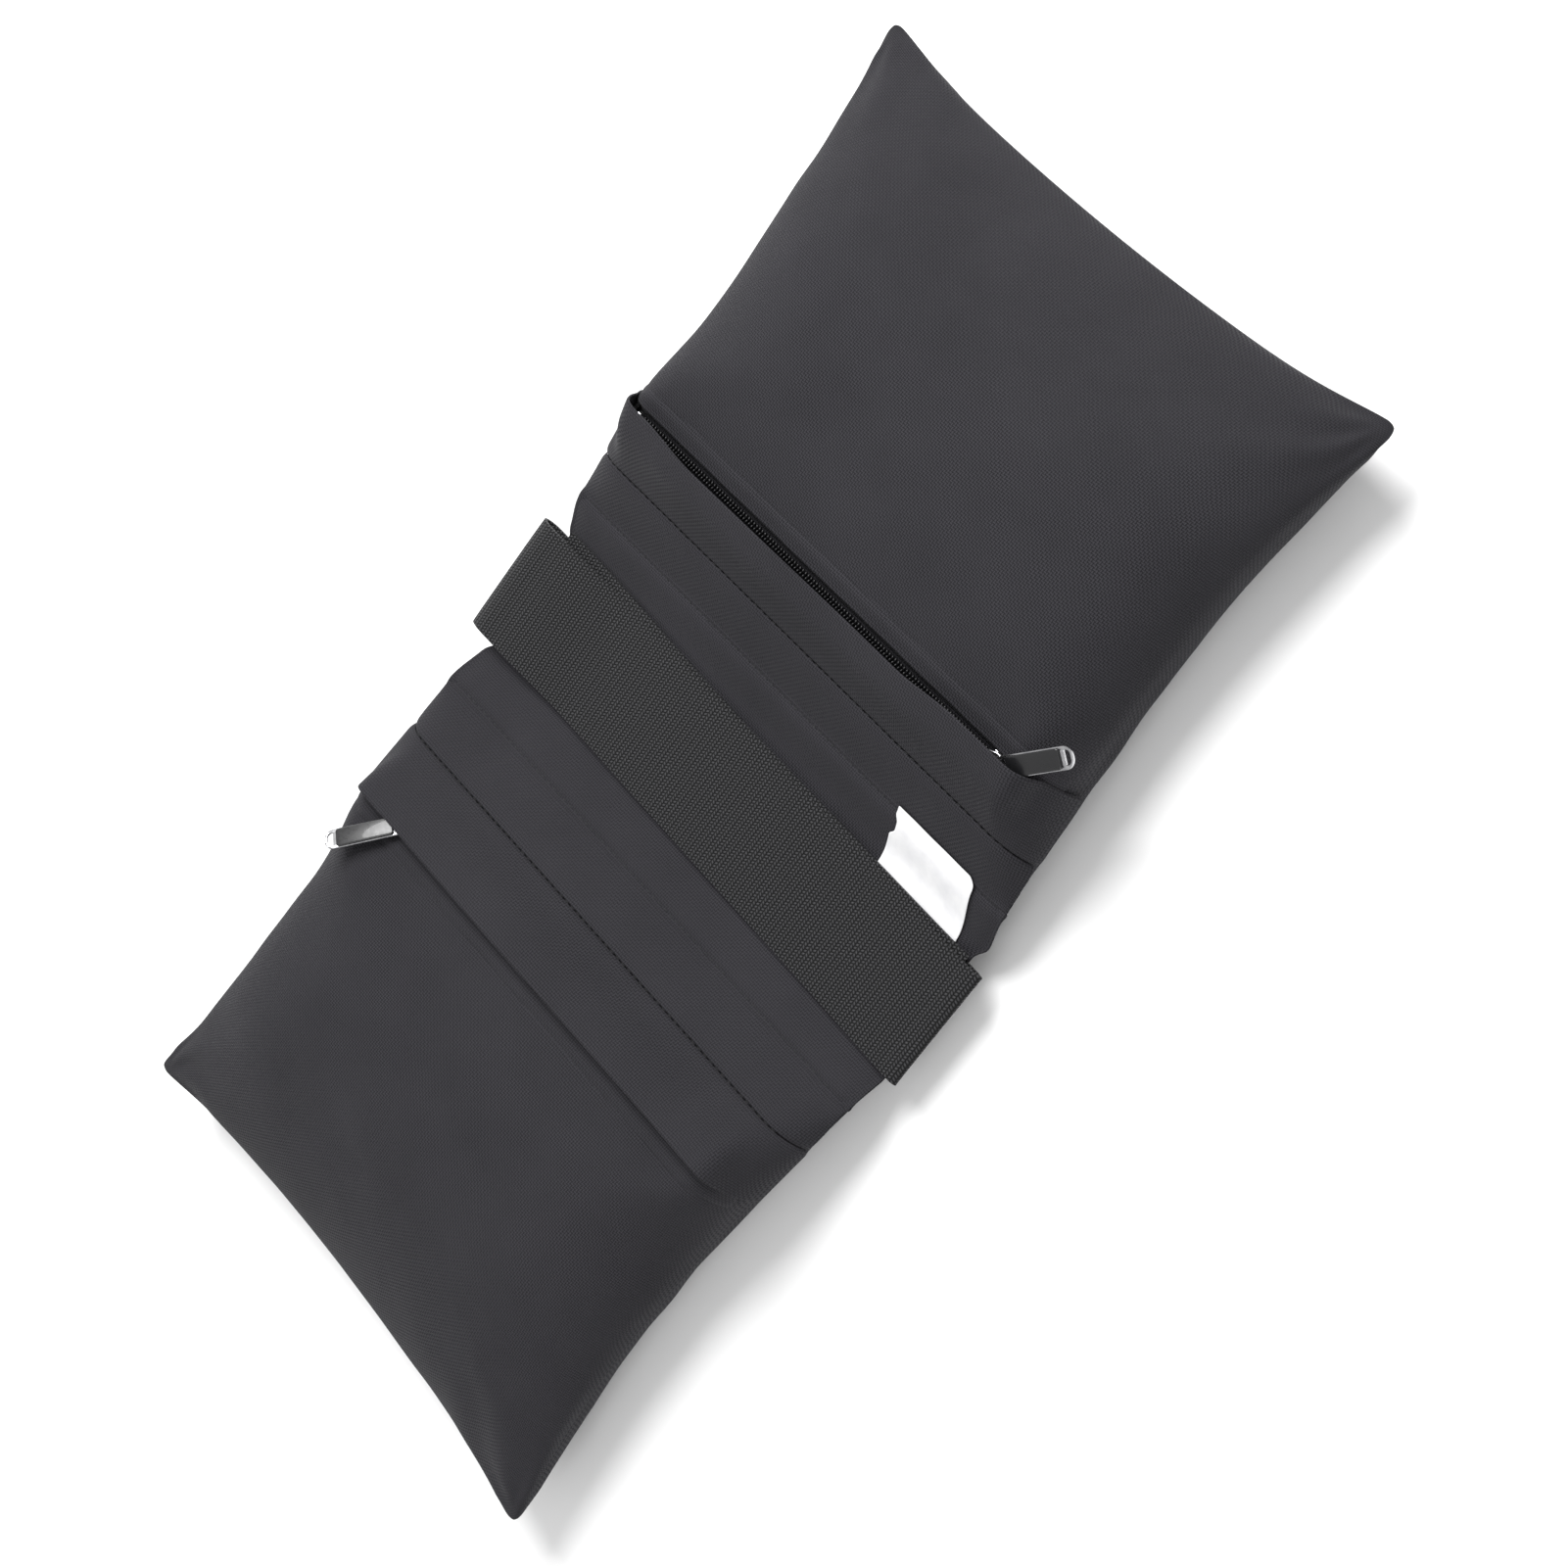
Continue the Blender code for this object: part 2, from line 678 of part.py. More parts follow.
def pouch_joints(tag, turn):
    """The pouch folds about its cross seam. The slider runs along the zip and carries its pull."""
    fold = Matrix.Translation((0, SADDLE_HALF + FOLD, SEAM_HEIGHT - FOLD_DROP))
    sewn = ["inner_panel_", "front_panel_", "back_panel_", "inner_zip_tape_", "outer_zip_tape_"]
    sewn += ["zip_chain_", "zip_top_stop_", "zip_bottom_stop_", "liner_bag_", "sand_fill_"]
    joint_empty("pouch_fold_" + tag, turn @ fold, [name + tag for name in sewn])
    runs = ["slider_body_", "slider_bridge_", "pull_tab_", "pull_inlay_"]
    joint_empty("slider_run_" + tag, turn @ slider_place(tag), [name + tag for name in runs])


def build():
    clear_scene()
    cloth = material("oxford cloth", (0.045, 0.045, 0.050), 0.75)
    webbing = material("webbing", (0.040, 0.040, 0.044), 0.70)
    tape = material("zip tape", (0.012, 0.012, 0.013), 0.80)
    coil = material("zip coil", (0.010, 0.010, 0.011), 0.45)
    metal = material("nickel plate", (0.62, 0.62, 0.63), 0.30, 1.0)
    dark = material("dark enamel", (0.020, 0.020, 0.022), 0.35)
    white = material("woven label", (0.75, 0.75, 0.75), 0.65)
    film = material("liner film", (0.60, 0.60, 0.58), 0.40)
    sand = material("sand", (0.50, 0.38, 0.24), 0.95)

    saddle_skin("saddle_top", 0.0, cloth)
    saddle_skin("saddle_back", SKIN + GAP, cloth)
    webbing_layer("base_webbing", -WEB_END, WEB_END, 0, webbing)
    webbing_layer("handle_grip", -GRIP_HALF, GRIP_HALF, 1, webbing)
    webbing_layer("handle_leg_left", -WEB_END, -GRIP_HALF - GAP, 1, webbing)
    webbing_layer("handle_leg_right", GRIP_HALF + GAP, WEB_END, 1, webbing)
    bight("bight_left", -1, webbing)
    bight("bight_right", 1, webbing)
    label(white)

    for tag, turn in (("a", Matrix.Identity(4)), ("b", HALF_TURN)):
        panels(tag, turn, cloth)
        zip_tapes(tag, turn, tape)
        zip_chain(tag, turn, coil, metal)
        slider(tag, turn, metal)
        pull(tag, turn, metal, dark)
        storm_flap(tag, turn, cloth)
        filling(tag, turn, film, sand)
        pouch_joints(tag, turn)


build()
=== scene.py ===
import json
import math

import bmesh
import bpy
from mathutils import Matrix, Vector, noise


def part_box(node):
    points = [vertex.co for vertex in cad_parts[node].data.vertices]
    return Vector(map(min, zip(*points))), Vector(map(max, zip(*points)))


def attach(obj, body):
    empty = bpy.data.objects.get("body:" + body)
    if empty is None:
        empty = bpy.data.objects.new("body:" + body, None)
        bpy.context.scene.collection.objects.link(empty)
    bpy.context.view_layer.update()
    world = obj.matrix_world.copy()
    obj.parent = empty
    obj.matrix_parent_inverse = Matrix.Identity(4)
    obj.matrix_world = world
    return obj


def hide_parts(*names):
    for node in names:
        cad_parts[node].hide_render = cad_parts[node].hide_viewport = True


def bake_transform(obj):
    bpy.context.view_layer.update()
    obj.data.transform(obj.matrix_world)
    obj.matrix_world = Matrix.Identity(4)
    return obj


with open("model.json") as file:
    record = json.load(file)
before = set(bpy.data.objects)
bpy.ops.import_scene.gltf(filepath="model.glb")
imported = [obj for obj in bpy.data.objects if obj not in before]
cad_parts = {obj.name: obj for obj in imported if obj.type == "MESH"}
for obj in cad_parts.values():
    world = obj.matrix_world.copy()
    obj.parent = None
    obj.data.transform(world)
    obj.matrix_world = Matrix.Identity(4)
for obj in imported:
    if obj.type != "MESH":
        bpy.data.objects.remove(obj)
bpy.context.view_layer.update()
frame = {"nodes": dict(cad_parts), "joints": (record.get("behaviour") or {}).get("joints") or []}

joints = {joint["name"]: joint for joint in frame["joints"]}
turns = {"a": Matrix.Identity(4), "b": Matrix.Rotation(math.pi, 4, "Z")}


# The bag's form, as the frame gives it

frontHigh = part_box("front_panel_a")[1]
webLow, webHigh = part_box("base_webbing")
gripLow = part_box("handle_grip")[0]
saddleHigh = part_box("saddle_top")[1]
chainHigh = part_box("zip_chain_a")[1]

bag = {
    "halfWidth": frontHigh.x,
    "tipY": frontHigh.y,
    "height": frontHigh.z,
    "seamY": saddleHigh.y,  # cross seam between saddle and pouch
    "seamZ": saddleHigh.z - 0.00105,  # the middle of the seam's two cloths
    "tipRise": 0.006,
    "sideDraw": 0.007,  # how far the filled pouch draws its sides in
    "endDraw": 0.006,
    "peakY": saddleHigh.y + 0.114,
    "shoulder": 0.0155,  # round shoulder beside the zip
    "shoulderFade": 0.050,
    "flatFar": 0.50,  # share of the half width that is flat over the filled middle
    "nearPower": 2.4,  # how soon the top rises from the cross seam
    "farPower": 0.8,  # how fully it falls to the end seam
    "baseNear": saddleHigh.y + 0.039,
    "baseFar": 0.033,
    "baseFlat": 0.82,
    "baseNearPower": 2.2,
    "baseFarPower": 0.7,
    "baseSidePower": 0.6,
    "zipY": saddleHigh.y + 0.042,
    "zipHalf": chainHigh.x,
    "flapSeamY": saddleHigh.y + 0.020,
    "flapEdgeY": saddleHigh.y + 0.047,
    "saddleZ": webLow.z - 0.0003,
    "saddleHalfWidth": saddleHigh.x,
    "webHalf": webHigh.y,
}


def smooth(t):
    t = min(max(t, 0.0), 1.0)
    return t * t * (3 - 2 * t)


def shoulderDrop(share, flat, power=0.5):
    t = min(max((share - flat) / (1 - flat), 0.0), 1.0)
    return (1 - t * t) ** power


def halfWidth(y):
    t = (y - bag["seamY"]) / (bag["tipY"] - bag["seamY"])
    return bag["halfWidth"] - bag["sideDraw"] * math.sin(math.pi * min(max(t, 0.0), 1.0))


def endOf(x):
    share = min(abs(x) / bag["halfWidth"], 1.0)
    return bag["tipY"] - bag["endDraw"] * (1 - share * share)


def seamHeight(y):
    t = (y - bag["seamY"]) / (bag["tipY"] - bag["seamY"])
    return bag["seamZ"] + bag["tipRise"] * smooth(t)


def topHeight(x, y):
    share = abs(x) / halfWidth(y)
    near = 1 - bag["shoulder"] / halfWidth(y)
    flat = near - (near - bag["flatFar"]) * smooth((y - bag["flapEdgeY"]) / bag["shoulderFade"])
    if y < bag["peakY"]:
        along = 1 - max(1 - (y - bag["seamY"]) / (bag["peakY"] - bag["seamY"]), 0.0) ** bag["nearPower"]
    else:
        along = shoulderDrop((y - bag["peakY"]) / (endOf(x) - bag["peakY"]), 0.0, bag["farPower"])
    low = seamHeight(y)
    return low + (bag["height"] - low) * shoulderDrop(share, flat) * along


def baseHeight(x, y):
    share = abs(x) / halfWidth(y)
    if y < bag["baseNear"]:
        toFlat = max(y - bag["seamY"], 0) / (bag["baseNear"] - bag["seamY"])
        along = 1 - (1 - toFlat) ** bag["baseNearPower"]
    else:
        along = shoulderDrop((y - endOf(x) + bag["baseFar"]) / bag["baseFar"], 0.0, bag["baseFarPower"])
    low = seamHeight(y)
    return low - low * shoulderDrop(share, bag["baseFlat"], bag["baseSidePower"]) * along


def saddleHeight(y):
    rise = smooth((abs(y) - bag["webHalf"]) / (bag["seamY"] - bag["webHalf"]))
    return bag["saddleZ"] + (bag["seamZ"] + 0.001 - bag["saddleZ"]) * rise


def topPoint(x, y):
    return Vector((x, y, topHeight(x, y)))


def outward(surface, x, y, step=1e-4):
    edge = halfWidth(y) - 2 * step
    far = endOf(x) - 2 * step
    x = min(max(x, -edge), edge)
    y = min(y, far)
    alongX = surface(x + step, y) - surface(x - step, y)
    alongY = surface(x, y + step) - surface(x, y - step)
    return alongX.cross(alongY).normalized()


# Materials. Each weave reads the piece's own flat pattern, in metres, from its UV map.


def newMaterial(name, base, roughness, metallic=0.0):
    made = bpy.data.materials.new(name)
    made.use_nodes = True
    shader = made.node_tree.nodes["Principled BSDF"]
    shader.inputs["Base Color"].default_value = (*base, 1)
    shader.inputs["Roughness"].default_value = roughness
    shader.inputs["Metallic"].default_value = metallic
    return made, shader


# Short hands for laying the nodes of one material
class Wiring:
    def __init__(self, material):
        self.nodes = material.node_tree.nodes
        self.links = material.node_tree.links

    def feed(self, socket, value):
        if hasattr(value, "is_output"):
            self.links.new(value, socket)
        else:
            socket.default_value = value

    def maths(self, operation, first, second=0.0, third=0.0, clamp=False):
        node = self.nodes.new("ShaderNodeMath")
        node.operation = operation
        node.use_clamp = clamp
        for socket, value in zip(node.inputs, (first, second, third)):
            self.feed(socket, value)
        return node.outputs[0]

    def pattern(self, uvName):
        node = self.nodes.new("ShaderNodeUVMap")
        node.uv_map = uvName
        split = self.nodes.new("ShaderNodeSeparateXYZ")
        self.links.new(node.outputs[0], split.inputs[0])
        return node.outputs[0], split.outputs[0], split.outputs[1]

    def noise(self, vector, scale, detail=3.0, roughness=0.55):
        node = self.nodes.new("ShaderNodeTexNoise")
        self.feed(node.inputs["Vector"], vector)
        node.inputs["Scale"].default_value = scale
        node.inputs["Detail"].default_value = detail
        node.inputs["Roughness"].default_value = roughness
        return node.outputs[0]

    def objectPlace(self):
        return self.nodes.new("ShaderNodeTexCoord").outputs["Object"]

    def ramp(self, value, stops):
        node = self.nodes.new("ShaderNodeValToRGB")
        self.feed(node.inputs[0], value)
        elements = node.color_ramp.elements
        while len(elements) < len(stops):
            elements.new(0.5)
        for element, (place, colour) in zip(elements, stops):
            element.position = place
            element.color = (*colour, 1)
        return node.outputs[0]

    def bump(self, height, strength, distance):
        node = self.nodes.new("ShaderNodeBump")
        node.inputs["Strength"].default_value = strength
        node.inputs["Distance"].default_value = distance
        self.feed(node.inputs["Height"], height)
        return node.outputs[0]


# A plain weave: yarns along U ride over those along V in every other cell
def plainWeave(wires, u, v, pitchU, pitchV):
    cellU = wires.maths("DIVIDE", u, pitchU)
    cellV = wires.maths("DIVIDE", v, pitchV)
    parity = wires.maths("ADD", wires.maths("FLOOR", cellU), wires.maths("FLOOR", cellV))
    over = wires.maths("FLOORED_MODULO", parity, 2.0)
    crownU = wires.maths("SINE", wires.maths("MULTIPLY", wires.maths("FRACT", cellU), math.pi))
    crownV = wires.maths("SINE", wires.maths("MULTIPLY", wires.maths("FRACT", cellV), math.pi))
    upper = wires.maths("MULTIPLY", over, crownU)
    lower = wires.maths("MULTIPLY", wires.maths("SUBTRACT", 1.0, over), crownV)
    return wires.maths("ADD", upper, lower)


oxford = {
    "pitch": 0.00095,  # from yarn to yarn
    # dark is painted shade in the gaps between the yarns and light is painted highlight on their crowns, over
    # the cloth's own charcoal
    "dark": (0.0030, 0.0030, 0.0042),
    "light": (0.0405, 0.0390, 0.0450),
    "roughness": 0.78,
    "sheen": 0.05,
    "specular": 0.14,
    "drift": 0.0012,  # how far the yarns stray
    "driftScale": 90.0,
    "yarnScale": 1400.0,
    "wear": 0.35,
    "wearScale": 16.0,
    "relief": 0.00026,
}


def oxfordCloth():
    made, shader = newMaterial("oxfordCloth", oxford["light"], oxford["roughness"])
    wires = Wiring(made)
    uv, u, v = wires.pattern("weave")
    drift = wires.maths("MULTIPLY", wires.noise(uv, oxford["driftScale"], 2.0), oxford["drift"])
    weave = plainWeave(
        wires, wires.maths("ADD", u, drift), wires.maths("ADD", v, drift), oxford["pitch"], oxford["pitch"]
    )
    yarn = wires.noise(uv, oxford["yarnScale"], 2.0)
    wear = wires.noise(uv, oxford["wearScale"], 5.0, 0.6)
    # Colour follows the weave's height: painted highlight on the yarn crowns, painted shade between them. The
    # yarn and wear noise are the cloth's own uneven tone.
    tone = wires.maths("MULTIPLY_ADD", weave, 0.62, wires.maths("MULTIPLY", yarn, 0.30))
    tone = wires.maths("MULTIPLY_ADD", wires.maths("SUBTRACT", wear, 0.5), oxford["wear"], tone, clamp=True)
    colour = wires.ramp(tone, ((0.10, oxford["dark"]), (0.95, oxford["light"])))
    wires.feed(shader.inputs["Base Color"], colour)
    rough = wires.maths("MULTIPLY_ADD", yarn, 0.16, oxford["roughness"] - 0.08, clamp=True)
    wires.feed(shader.inputs["Roughness"], rough)
    height = wires.maths("MULTIPLY_ADD", yarn, 0.25, weave)
    wires.feed(shader.inputs["Normal"], wires.bump(height, 0.75, oxford["relief"]))
    shader.inputs["Sheen Weight"].default_value = oxford["sheen"]
    shader.inputs["Sheen Roughness"].default_value = 0.45
    shader.inputs["Specular IOR Level"].default_value = oxford["specular"]
    return made


webbingLook = {
    "pitchAcross": 0.00134,
    "pitchAlong": 0.00145,
    # dark is painted shade between the floats and light is painted highlight on their crowns, over the
    # webbing's own black
    "dark": (0.0015, 0.0015, 0.0019),
    "light": (0.050, 0.050, 0.053),
    "sheen": 0.05,
    "specular": 0.18,
    "slant": 0.42,
    "fibreScale": 1900.0,
    "relief": 0.00045,
}


# Heavy webbing: slanted floats in rows across the strap, each row leaning the other way
def webbingCloth():
    made, shader = newMaterial("webbing", webbingLook["light"], 0.6)
    wires = Wiring(made)
    uv, along, across = wires.pattern("weave")
    row = wires.maths("DIVIDE", along, webbingLook["pitchAlong"])
    lean = wires.maths("FLOORED_MODULO", wires.maths("FLOOR", row), 2.0)
    lean = wires.maths("MULTIPLY_ADD", lean, 2.0, -1.0)
    inRow = wires.maths("FRACT", row)
    slant = wires.maths("MULTIPLY", wires.maths("MULTIPLY", inRow, lean), webbingLook["slant"])
    cell = wires.maths("ADD", wires.maths("DIVIDE", across, webbingLook["pitchAcross"]), slant)
    crown = wires.maths("SINE", wires.maths("MULTIPLY", wires.maths("FRACT", cell), math.pi))
    swell = wires.maths("SINE", wires.maths("MULTIPLY", inRow, math.pi))
    height = wires.maths("MULTIPLY", wires.maths("POWER", crown, 0.8), wires.maths("POWER", swell, 0.6))
    fibre = wires.noise(uv, webbingLook["fibreScale"], 2.0)
    # Colour follows the floats' height: painted highlight on each float, painted shade between them. The
    # fibre noise is the yarn's own uneven tone.
    tone = wires.maths("MULTIPLY", height, wires.maths("MULTIPLY_ADD", fibre, 0.9, 0.45), clamp=True)
    colour = wires.ramp(tone, ((0.34, webbingLook["dark"]), (0.92, webbingLook["light"])))
    wires.feed(shader.inputs["Base Color"], colour)
    wires.feed(shader.inputs["Normal"], wires.bump(height, 0.9, webbingLook["relief"]))
    shader.inputs["Roughness"].default_value = 0.55
    shader.inputs["Sheen Weight"].default_value = webbingLook["sheen"]
    shader.inputs["Specular IOR Level"].default_value = webbingLook["specular"]
    return made


def tapeCloth():
    made, shader = newMaterial("zipTape", (0.010, 0.010, 0.011), 0.85)
    wires = Wiring(made)
    uv, u, v = wires.pattern("weave")
    weave = plainWeave(wires, u, v, 0.0006, 0.0005)
    # Colour follows the weave's height: painted highlight on the yarn crowns, painted shade between them,
    # over the tape's own black.
    colour = wires.ramp(weave, ((0.0, (0.002, 0.002, 0.003)), (1.0, (0.014, 0.014, 0.016))))
    wires.feed(shader.inputs["Base Color"], colour)
    wires.feed(shader.inputs["Normal"], wires.bump(weave, 0.6, 0.00015))
    return made


def labelCloth():
    made, shader = newMaterial("labelSatin", (0.78, 0.78, 0.79), 0.42)
    wires = Wiring(made)
    uv, u, v = wires.pattern("weave")
    ribs = wires.maths("SINE", wires.maths("MULTIPLY", v, 2 * math.pi / 0.0005))
    cloud = wires.noise(uv, 120.0, 3.0)
    colour = wires.ramp(cloud, ((0.2, (0.66, 0.66, 0.68)), (0.8, (0.84, 0.84, 0.84))))
    wires.feed(shader.inputs["Base Color"], colour)
    wires.feed(shader.inputs["Normal"], wires.bump(ribs, 0.25, 0.00008))
    shader.inputs["Sheen Weight"].default_value = 0.25
    return made


def coilPlastic():
    made, shader = newMaterial("coilPlastic", (0.008, 0.008, 0.009), 0.38)
    wires = Wiring(made)
    cloud = wires.noise(wires.objectPlace(), 900.0, 2.0)
    rough = wires.maths("MULTIPLY_ADD", cloud, 0.2, 0.30)
    wires.feed(shader.inputs["Roughness"], rough)
    return made


def threadYarn():
    made, shader = newMaterial("thread", (0.006, 0.006, 0.007), 0.7)
    wires = Wiring(made)
    cloud = wires.noise(wires.objectPlace(), 2200.0, 2.0)
    colour = wires.ramp(cloud, ((0.3, (0.003, 0.003, 0.004)), (0.8, (0.016, 0.016, 0.018))))
    wires.feed(shader.inputs["Base Color"], colour)
    return made


def nickelPlate():
    made, shader = newMaterial("nickelPlate", (0.58, 0.58, 0.60), 0.26, 1.0)
    wires = Wiring(made)
    place = wires.objectPlace()
    cloud = wires.noise(place, 260.0, 4.0)
    brush = wires.noise(place, 2600.0, 2.0)
    rough = wires.maths("MULTIPLY_ADD", cloud, 0.22, 0.16)
    wires.feed(shader.inputs["Roughness"], rough)
    colour = wires.ramp(cloud, ((0.25, (0.42, 0.42, 0.44)), (0.75, (0.70, 0.70, 0.71))))
    wires.feed(shader.inputs["Base Color"], colour)
    wires.feed(shader.inputs["Normal"], wires.bump(brush, 0.08, 0.00005))
    return made


def darkEnamel():
    made, shader = newMaterial("darkEnamel", (0.010, 0.010, 0.011), 0.30)
    wires = Wiring(made)
    cloud = wires.noise(wires.objectPlace(), 700.0, 3.0)
    rough = wires.maths("MULTIPLY_ADD", cloud, 0.25, 0.18)
    wires.feed(shader.inputs["Roughness"], rough)
    wires.feed(shader.inputs["Normal"], wires.bump(cloud, 0.10, 0.00005))
    shader.inputs["Coat Weight"].default_value = 0.25
    return made


def linerFilm():
    made, shader = newMaterial("linerFilm", (0.60, 0.60, 0.58), 0.35)
    wires = Wiring(made)
    creased = wires.noise(wires.objectPlace(), 60.0, 5.0)
    colour = wires.ramp(creased, ((0.3, (0.52, 0.52, 0.50)), (0.7, (0.66, 0.66, 0.64))))
    wires.feed(shader.inputs["Base Color"], colour)
    wires.feed(shader.inputs["Normal"], wires.bump(creased, 0.5, 0.0008))
    return made


def drySand():
    made, shader = newMaterial("drySand", (0.50, 0.38, 0.24), 0.95)
    wires = Wiring(made)
    grain = wires.noise(wires.objectPlace(), 1500.0, 2.0)
    colour = wires.ramp(grain, ((0.3, (0.34, 0.25, 0.15)), (0.7, (0.60, 0.47, 0.31))))
    wires.feed(shader.inputs["Base Color"], colour)
    wires.feed(shader.inputs["Normal"], wires.bump(grain, 0.6, 0.0004))
    return made


looks = {
    "cloth": oxfordCloth(),
    "webbing": webbingCloth(),
    "zip_tape": tapeCloth(),
    "zip_coil": coilPlastic(),
    "nickel": nickelPlate(),
    "dark_enamel": darkEnamel(),
    "label": labelCloth(),
    "thread": threadYarn(),
    "liner_film": linerFilm(),
    "sand": drySand(),
}

# The stops and what the pouch holds keep their solids
for node, look in (
    ("zip_top_stop_", "nickel"),
    ("zip_bottom_stop_", "nickel"),
    ("liner_bag_", "liner_film"),
    ("sand_fill_", "sand"),
):
    for tag in turns:
        frame["nodes"][node + tag].material_slots[0].material = looks[look]
print("materials made")


# Mesh helpers


def asPiece(name, mesh, look, turn=None):
    if turn:
        mesh.transform(turn)
    data = bpy.data.meshes.new(name)
    mesh.to_mesh(data)
    mesh.free()
    data.shade_smooth()
    data.materials.append(looks[look])
    piece = bpy.data.objects.new(name, data)
    bpy.context.scene.collection.objects.link(piece)
    return piece


# A grid laid out by place(u, v), u from -1 to 1 and v from 0 to 1, with its flat pattern as the UV map
def clothGrid(columns, rows, place, flat):
    mesh = bmesh.new()
    bmesh.ops.create_grid(mesh, x_segments=columns, y_segments=rows, size=1.0)
    weave = mesh.loops.layers.uv.new("weave")
    for face in mesh.faces:
        for corner in face.loops:
            u, v = corner.vert.co.x, (corner.vert.co.y + 1) / 2
            corner[weave].uv = flat(u, v)
    for vert in mesh.verts:
        vert.co = place(vert.co.x, (vert.co.y + 1) / 2)
    return mesh


def takeIn(whole, part):
    data = bpy.data.meshes.new("part")
    part.to_mesh(data)
    part.free()
    whole.from_mesh(data)
    bpy.data.meshes.remove(data)


# Bakes the modifiers into the piece's own mesh
def settle(piece):
    bpy.context.view_layer.update()
    shaped = bpy.data.meshes.new_from_object(piece.evaluated_get(bpy.context.evaluated_depsgraph_get()))
    piece.modifiers.clear()
    old = piece.data
    piece.data = shaped
    bpy.data.meshes.remove(old)


def thicken(piece, thick, offset=-1.0, levels=1, crisp=False):
    wall = piece.modifiers.new("wall", "SOLIDIFY")
    wall.thickness = thick
    wall.offset = offset
    wall.use_even_offset = True
    wall.use_quality_normals = True
    if crisp:
        settle(piece)
        piece.data.set_sharp_from_angle(angle=math.radians(60))
        creases = piece.data.attributes.new("crease_edge", "FLOAT", "EDGE")
        for edge in piece.data.edges:
            creases.data[edge.index].value = 1.0 if edge.use_edge_sharp else 0.0
    if levels:
        finer = piece.modifiers.new("finer", "SUBSURF")
        finer.levels = levels
        finer.render_levels = levels
    return piece


def undulate(point, scale, amount, seed):
    place = Vector((point.x, point.y, seed)) / scale
    return amount * noise.noise(place)


# The pouches: two panels sewn into a closed pillow, blown out over the sand by a cloth simulation

pouchCloth = {
    "columns": 76,
    "rows": 64,
    "start": 0.002,  # from the cross seam
    "zipDip": 0.0024,  # how far the cloth lies below the zip
    "zipBand": 0.0045,
    "pressure": 4.5,
    "frames": 18,
    "mostMove": 0.0055,
    "seamNip": 0.0008,  # the sewn rim lies this far inside the two bulging panels
    "tipRadius": 0.0048,
    "ear": 0.0034,  # how far the tips are drawn out beyond the plain outline
    "earLength": 0.026,
    "puckerLength": 0.014,
    "pucker": 0.0006,
    "puckerReach": 0.009,
    "lump": 0.0013,
    "lumpSize": 0.050,
    "fineLump": 0.0004,
    "fineSize": 0.020,
    "rays": 9,  # folds that run out from each tip
    "ray": 0.0009,
    "rayReach": 0.045,
    "rimFade": 0.012,
    "floorGap": 0.0002,
}

held = {"seam": 0.006, "beforeZip": 0.014, "pastZip": 0.013, "floor": 0.0004}  # what doesn't move


clothSettings = {
    "quality": 6,
    "mass": 0.3,
    "tension_stiffness": 30,
    "compression_stiffness": 30,
    "shear_stiffness": 12,
    "bending_stiffness": 1.2,
}


# Draws a share from -1 to 1 closer together towards both ends
def spreadShare(u, pull=0.18, power=5):
    return u * (1 + pull - pull * abs(u) ** (power - 1))


def pouchPlace(side):
    begin = bag["seamY"] + pouchCloth["start"]

    def place(u, v):
        share, t = spreadShare(u), v * (1.07 - 0.07 * v**5)
        y = begin
        for _ in range(3):
            x = share * halfWidth(y)
            y = begin + (endOf(x) - begin) * t
        x = share * halfWidth(y)
        seen = y - pouchCloth["start"] * (1 - t)
        seam = seamHeight(seen)
        if side > 0:
            z = topHeight(x, seen)
            away = max(abs(y - bag["zipY"]) - pouchCloth["zipBand"], 0.0) / 0.004
            z = max(seam, z - pouchCloth["zipDip"] * (1 - smooth(away)))
        else:
            z = baseHeight(x, seen)
        if abs(u) > 0.9999 or v > 0.9999 or v < 0.0001:
            z = seam
        return drawnOut(bluntTip(Vector((x, y, z))))

    return place


def drawnOut(point):
    tip = Vector((math.copysign(bag["halfWidth"], point.x), bag["tipY"]))
    share = math.exp(-(((point.xy - tip).length / pouchCloth["earLength"]) ** 2))
    ear = pouchCloth["ear"] * share
    return point + Vector((math.copysign(ear, point.x), ear, 0))


def bluntTip(point):
    radius = pouchCloth["tipRadius"]
    inX = radius - (halfWidth(point.y) - abs(point.x))
    inY = radius - (endOf(point.x) - point.y)
    away = math.hypot(inX, inY)
    if inX > 0 and inY > 0 and away > radius:
        back = 1 - radius / away
        point.x -= math.copysign(inX * back, point.x)
        point.y -= inY * back
    return point


def flatPattern(side):
    width = 2 * bag["halfWidth"]
    length = bag["tipY"] - bag["seamY"]

    def flat(u, v):
        return (u * bag["halfWidth"] + (0 if side > 0 else width * 1.2), bag["seamY"] + v * length)

    return flat


def pouchPillow():
    whole = bmesh.new()
    for side in (1, -1):
        half = clothGrid(pouchCloth["columns"], pouchCloth["rows"], pouchPlace(side), flatPattern(side))
        if side < 0:
            bmesh.ops.reverse_faces(half, faces=half.faces)
        takeIn(whole, half)
    bmesh.ops.remove_doubles(whole, verts=whole.verts, dist=2e-5)
    return whole


def heldPoints(points, flatPlaces):
    found = []
    for number, (point, flat) in enumerate(zip(points, flatPlaces)):
        nearSeam = point.y < bag["seamY"] + held["seam"]
        byZip = bag["zipY"] - held["beforeZip"] < point.y < bag["zipY"] + held["pastZip"]
        byZip = byZip and point.z > seamHeight(point.y)
        onFloor = point.z < held["floor"]
        onRim = abs(flat[0]) > bag["halfWidth"] - 1e-5 or flat[1] > bag["tipY"] - 1e-5
        if nearSeam or byZip or onFloor or onRim:
            found.append(number)
    return found


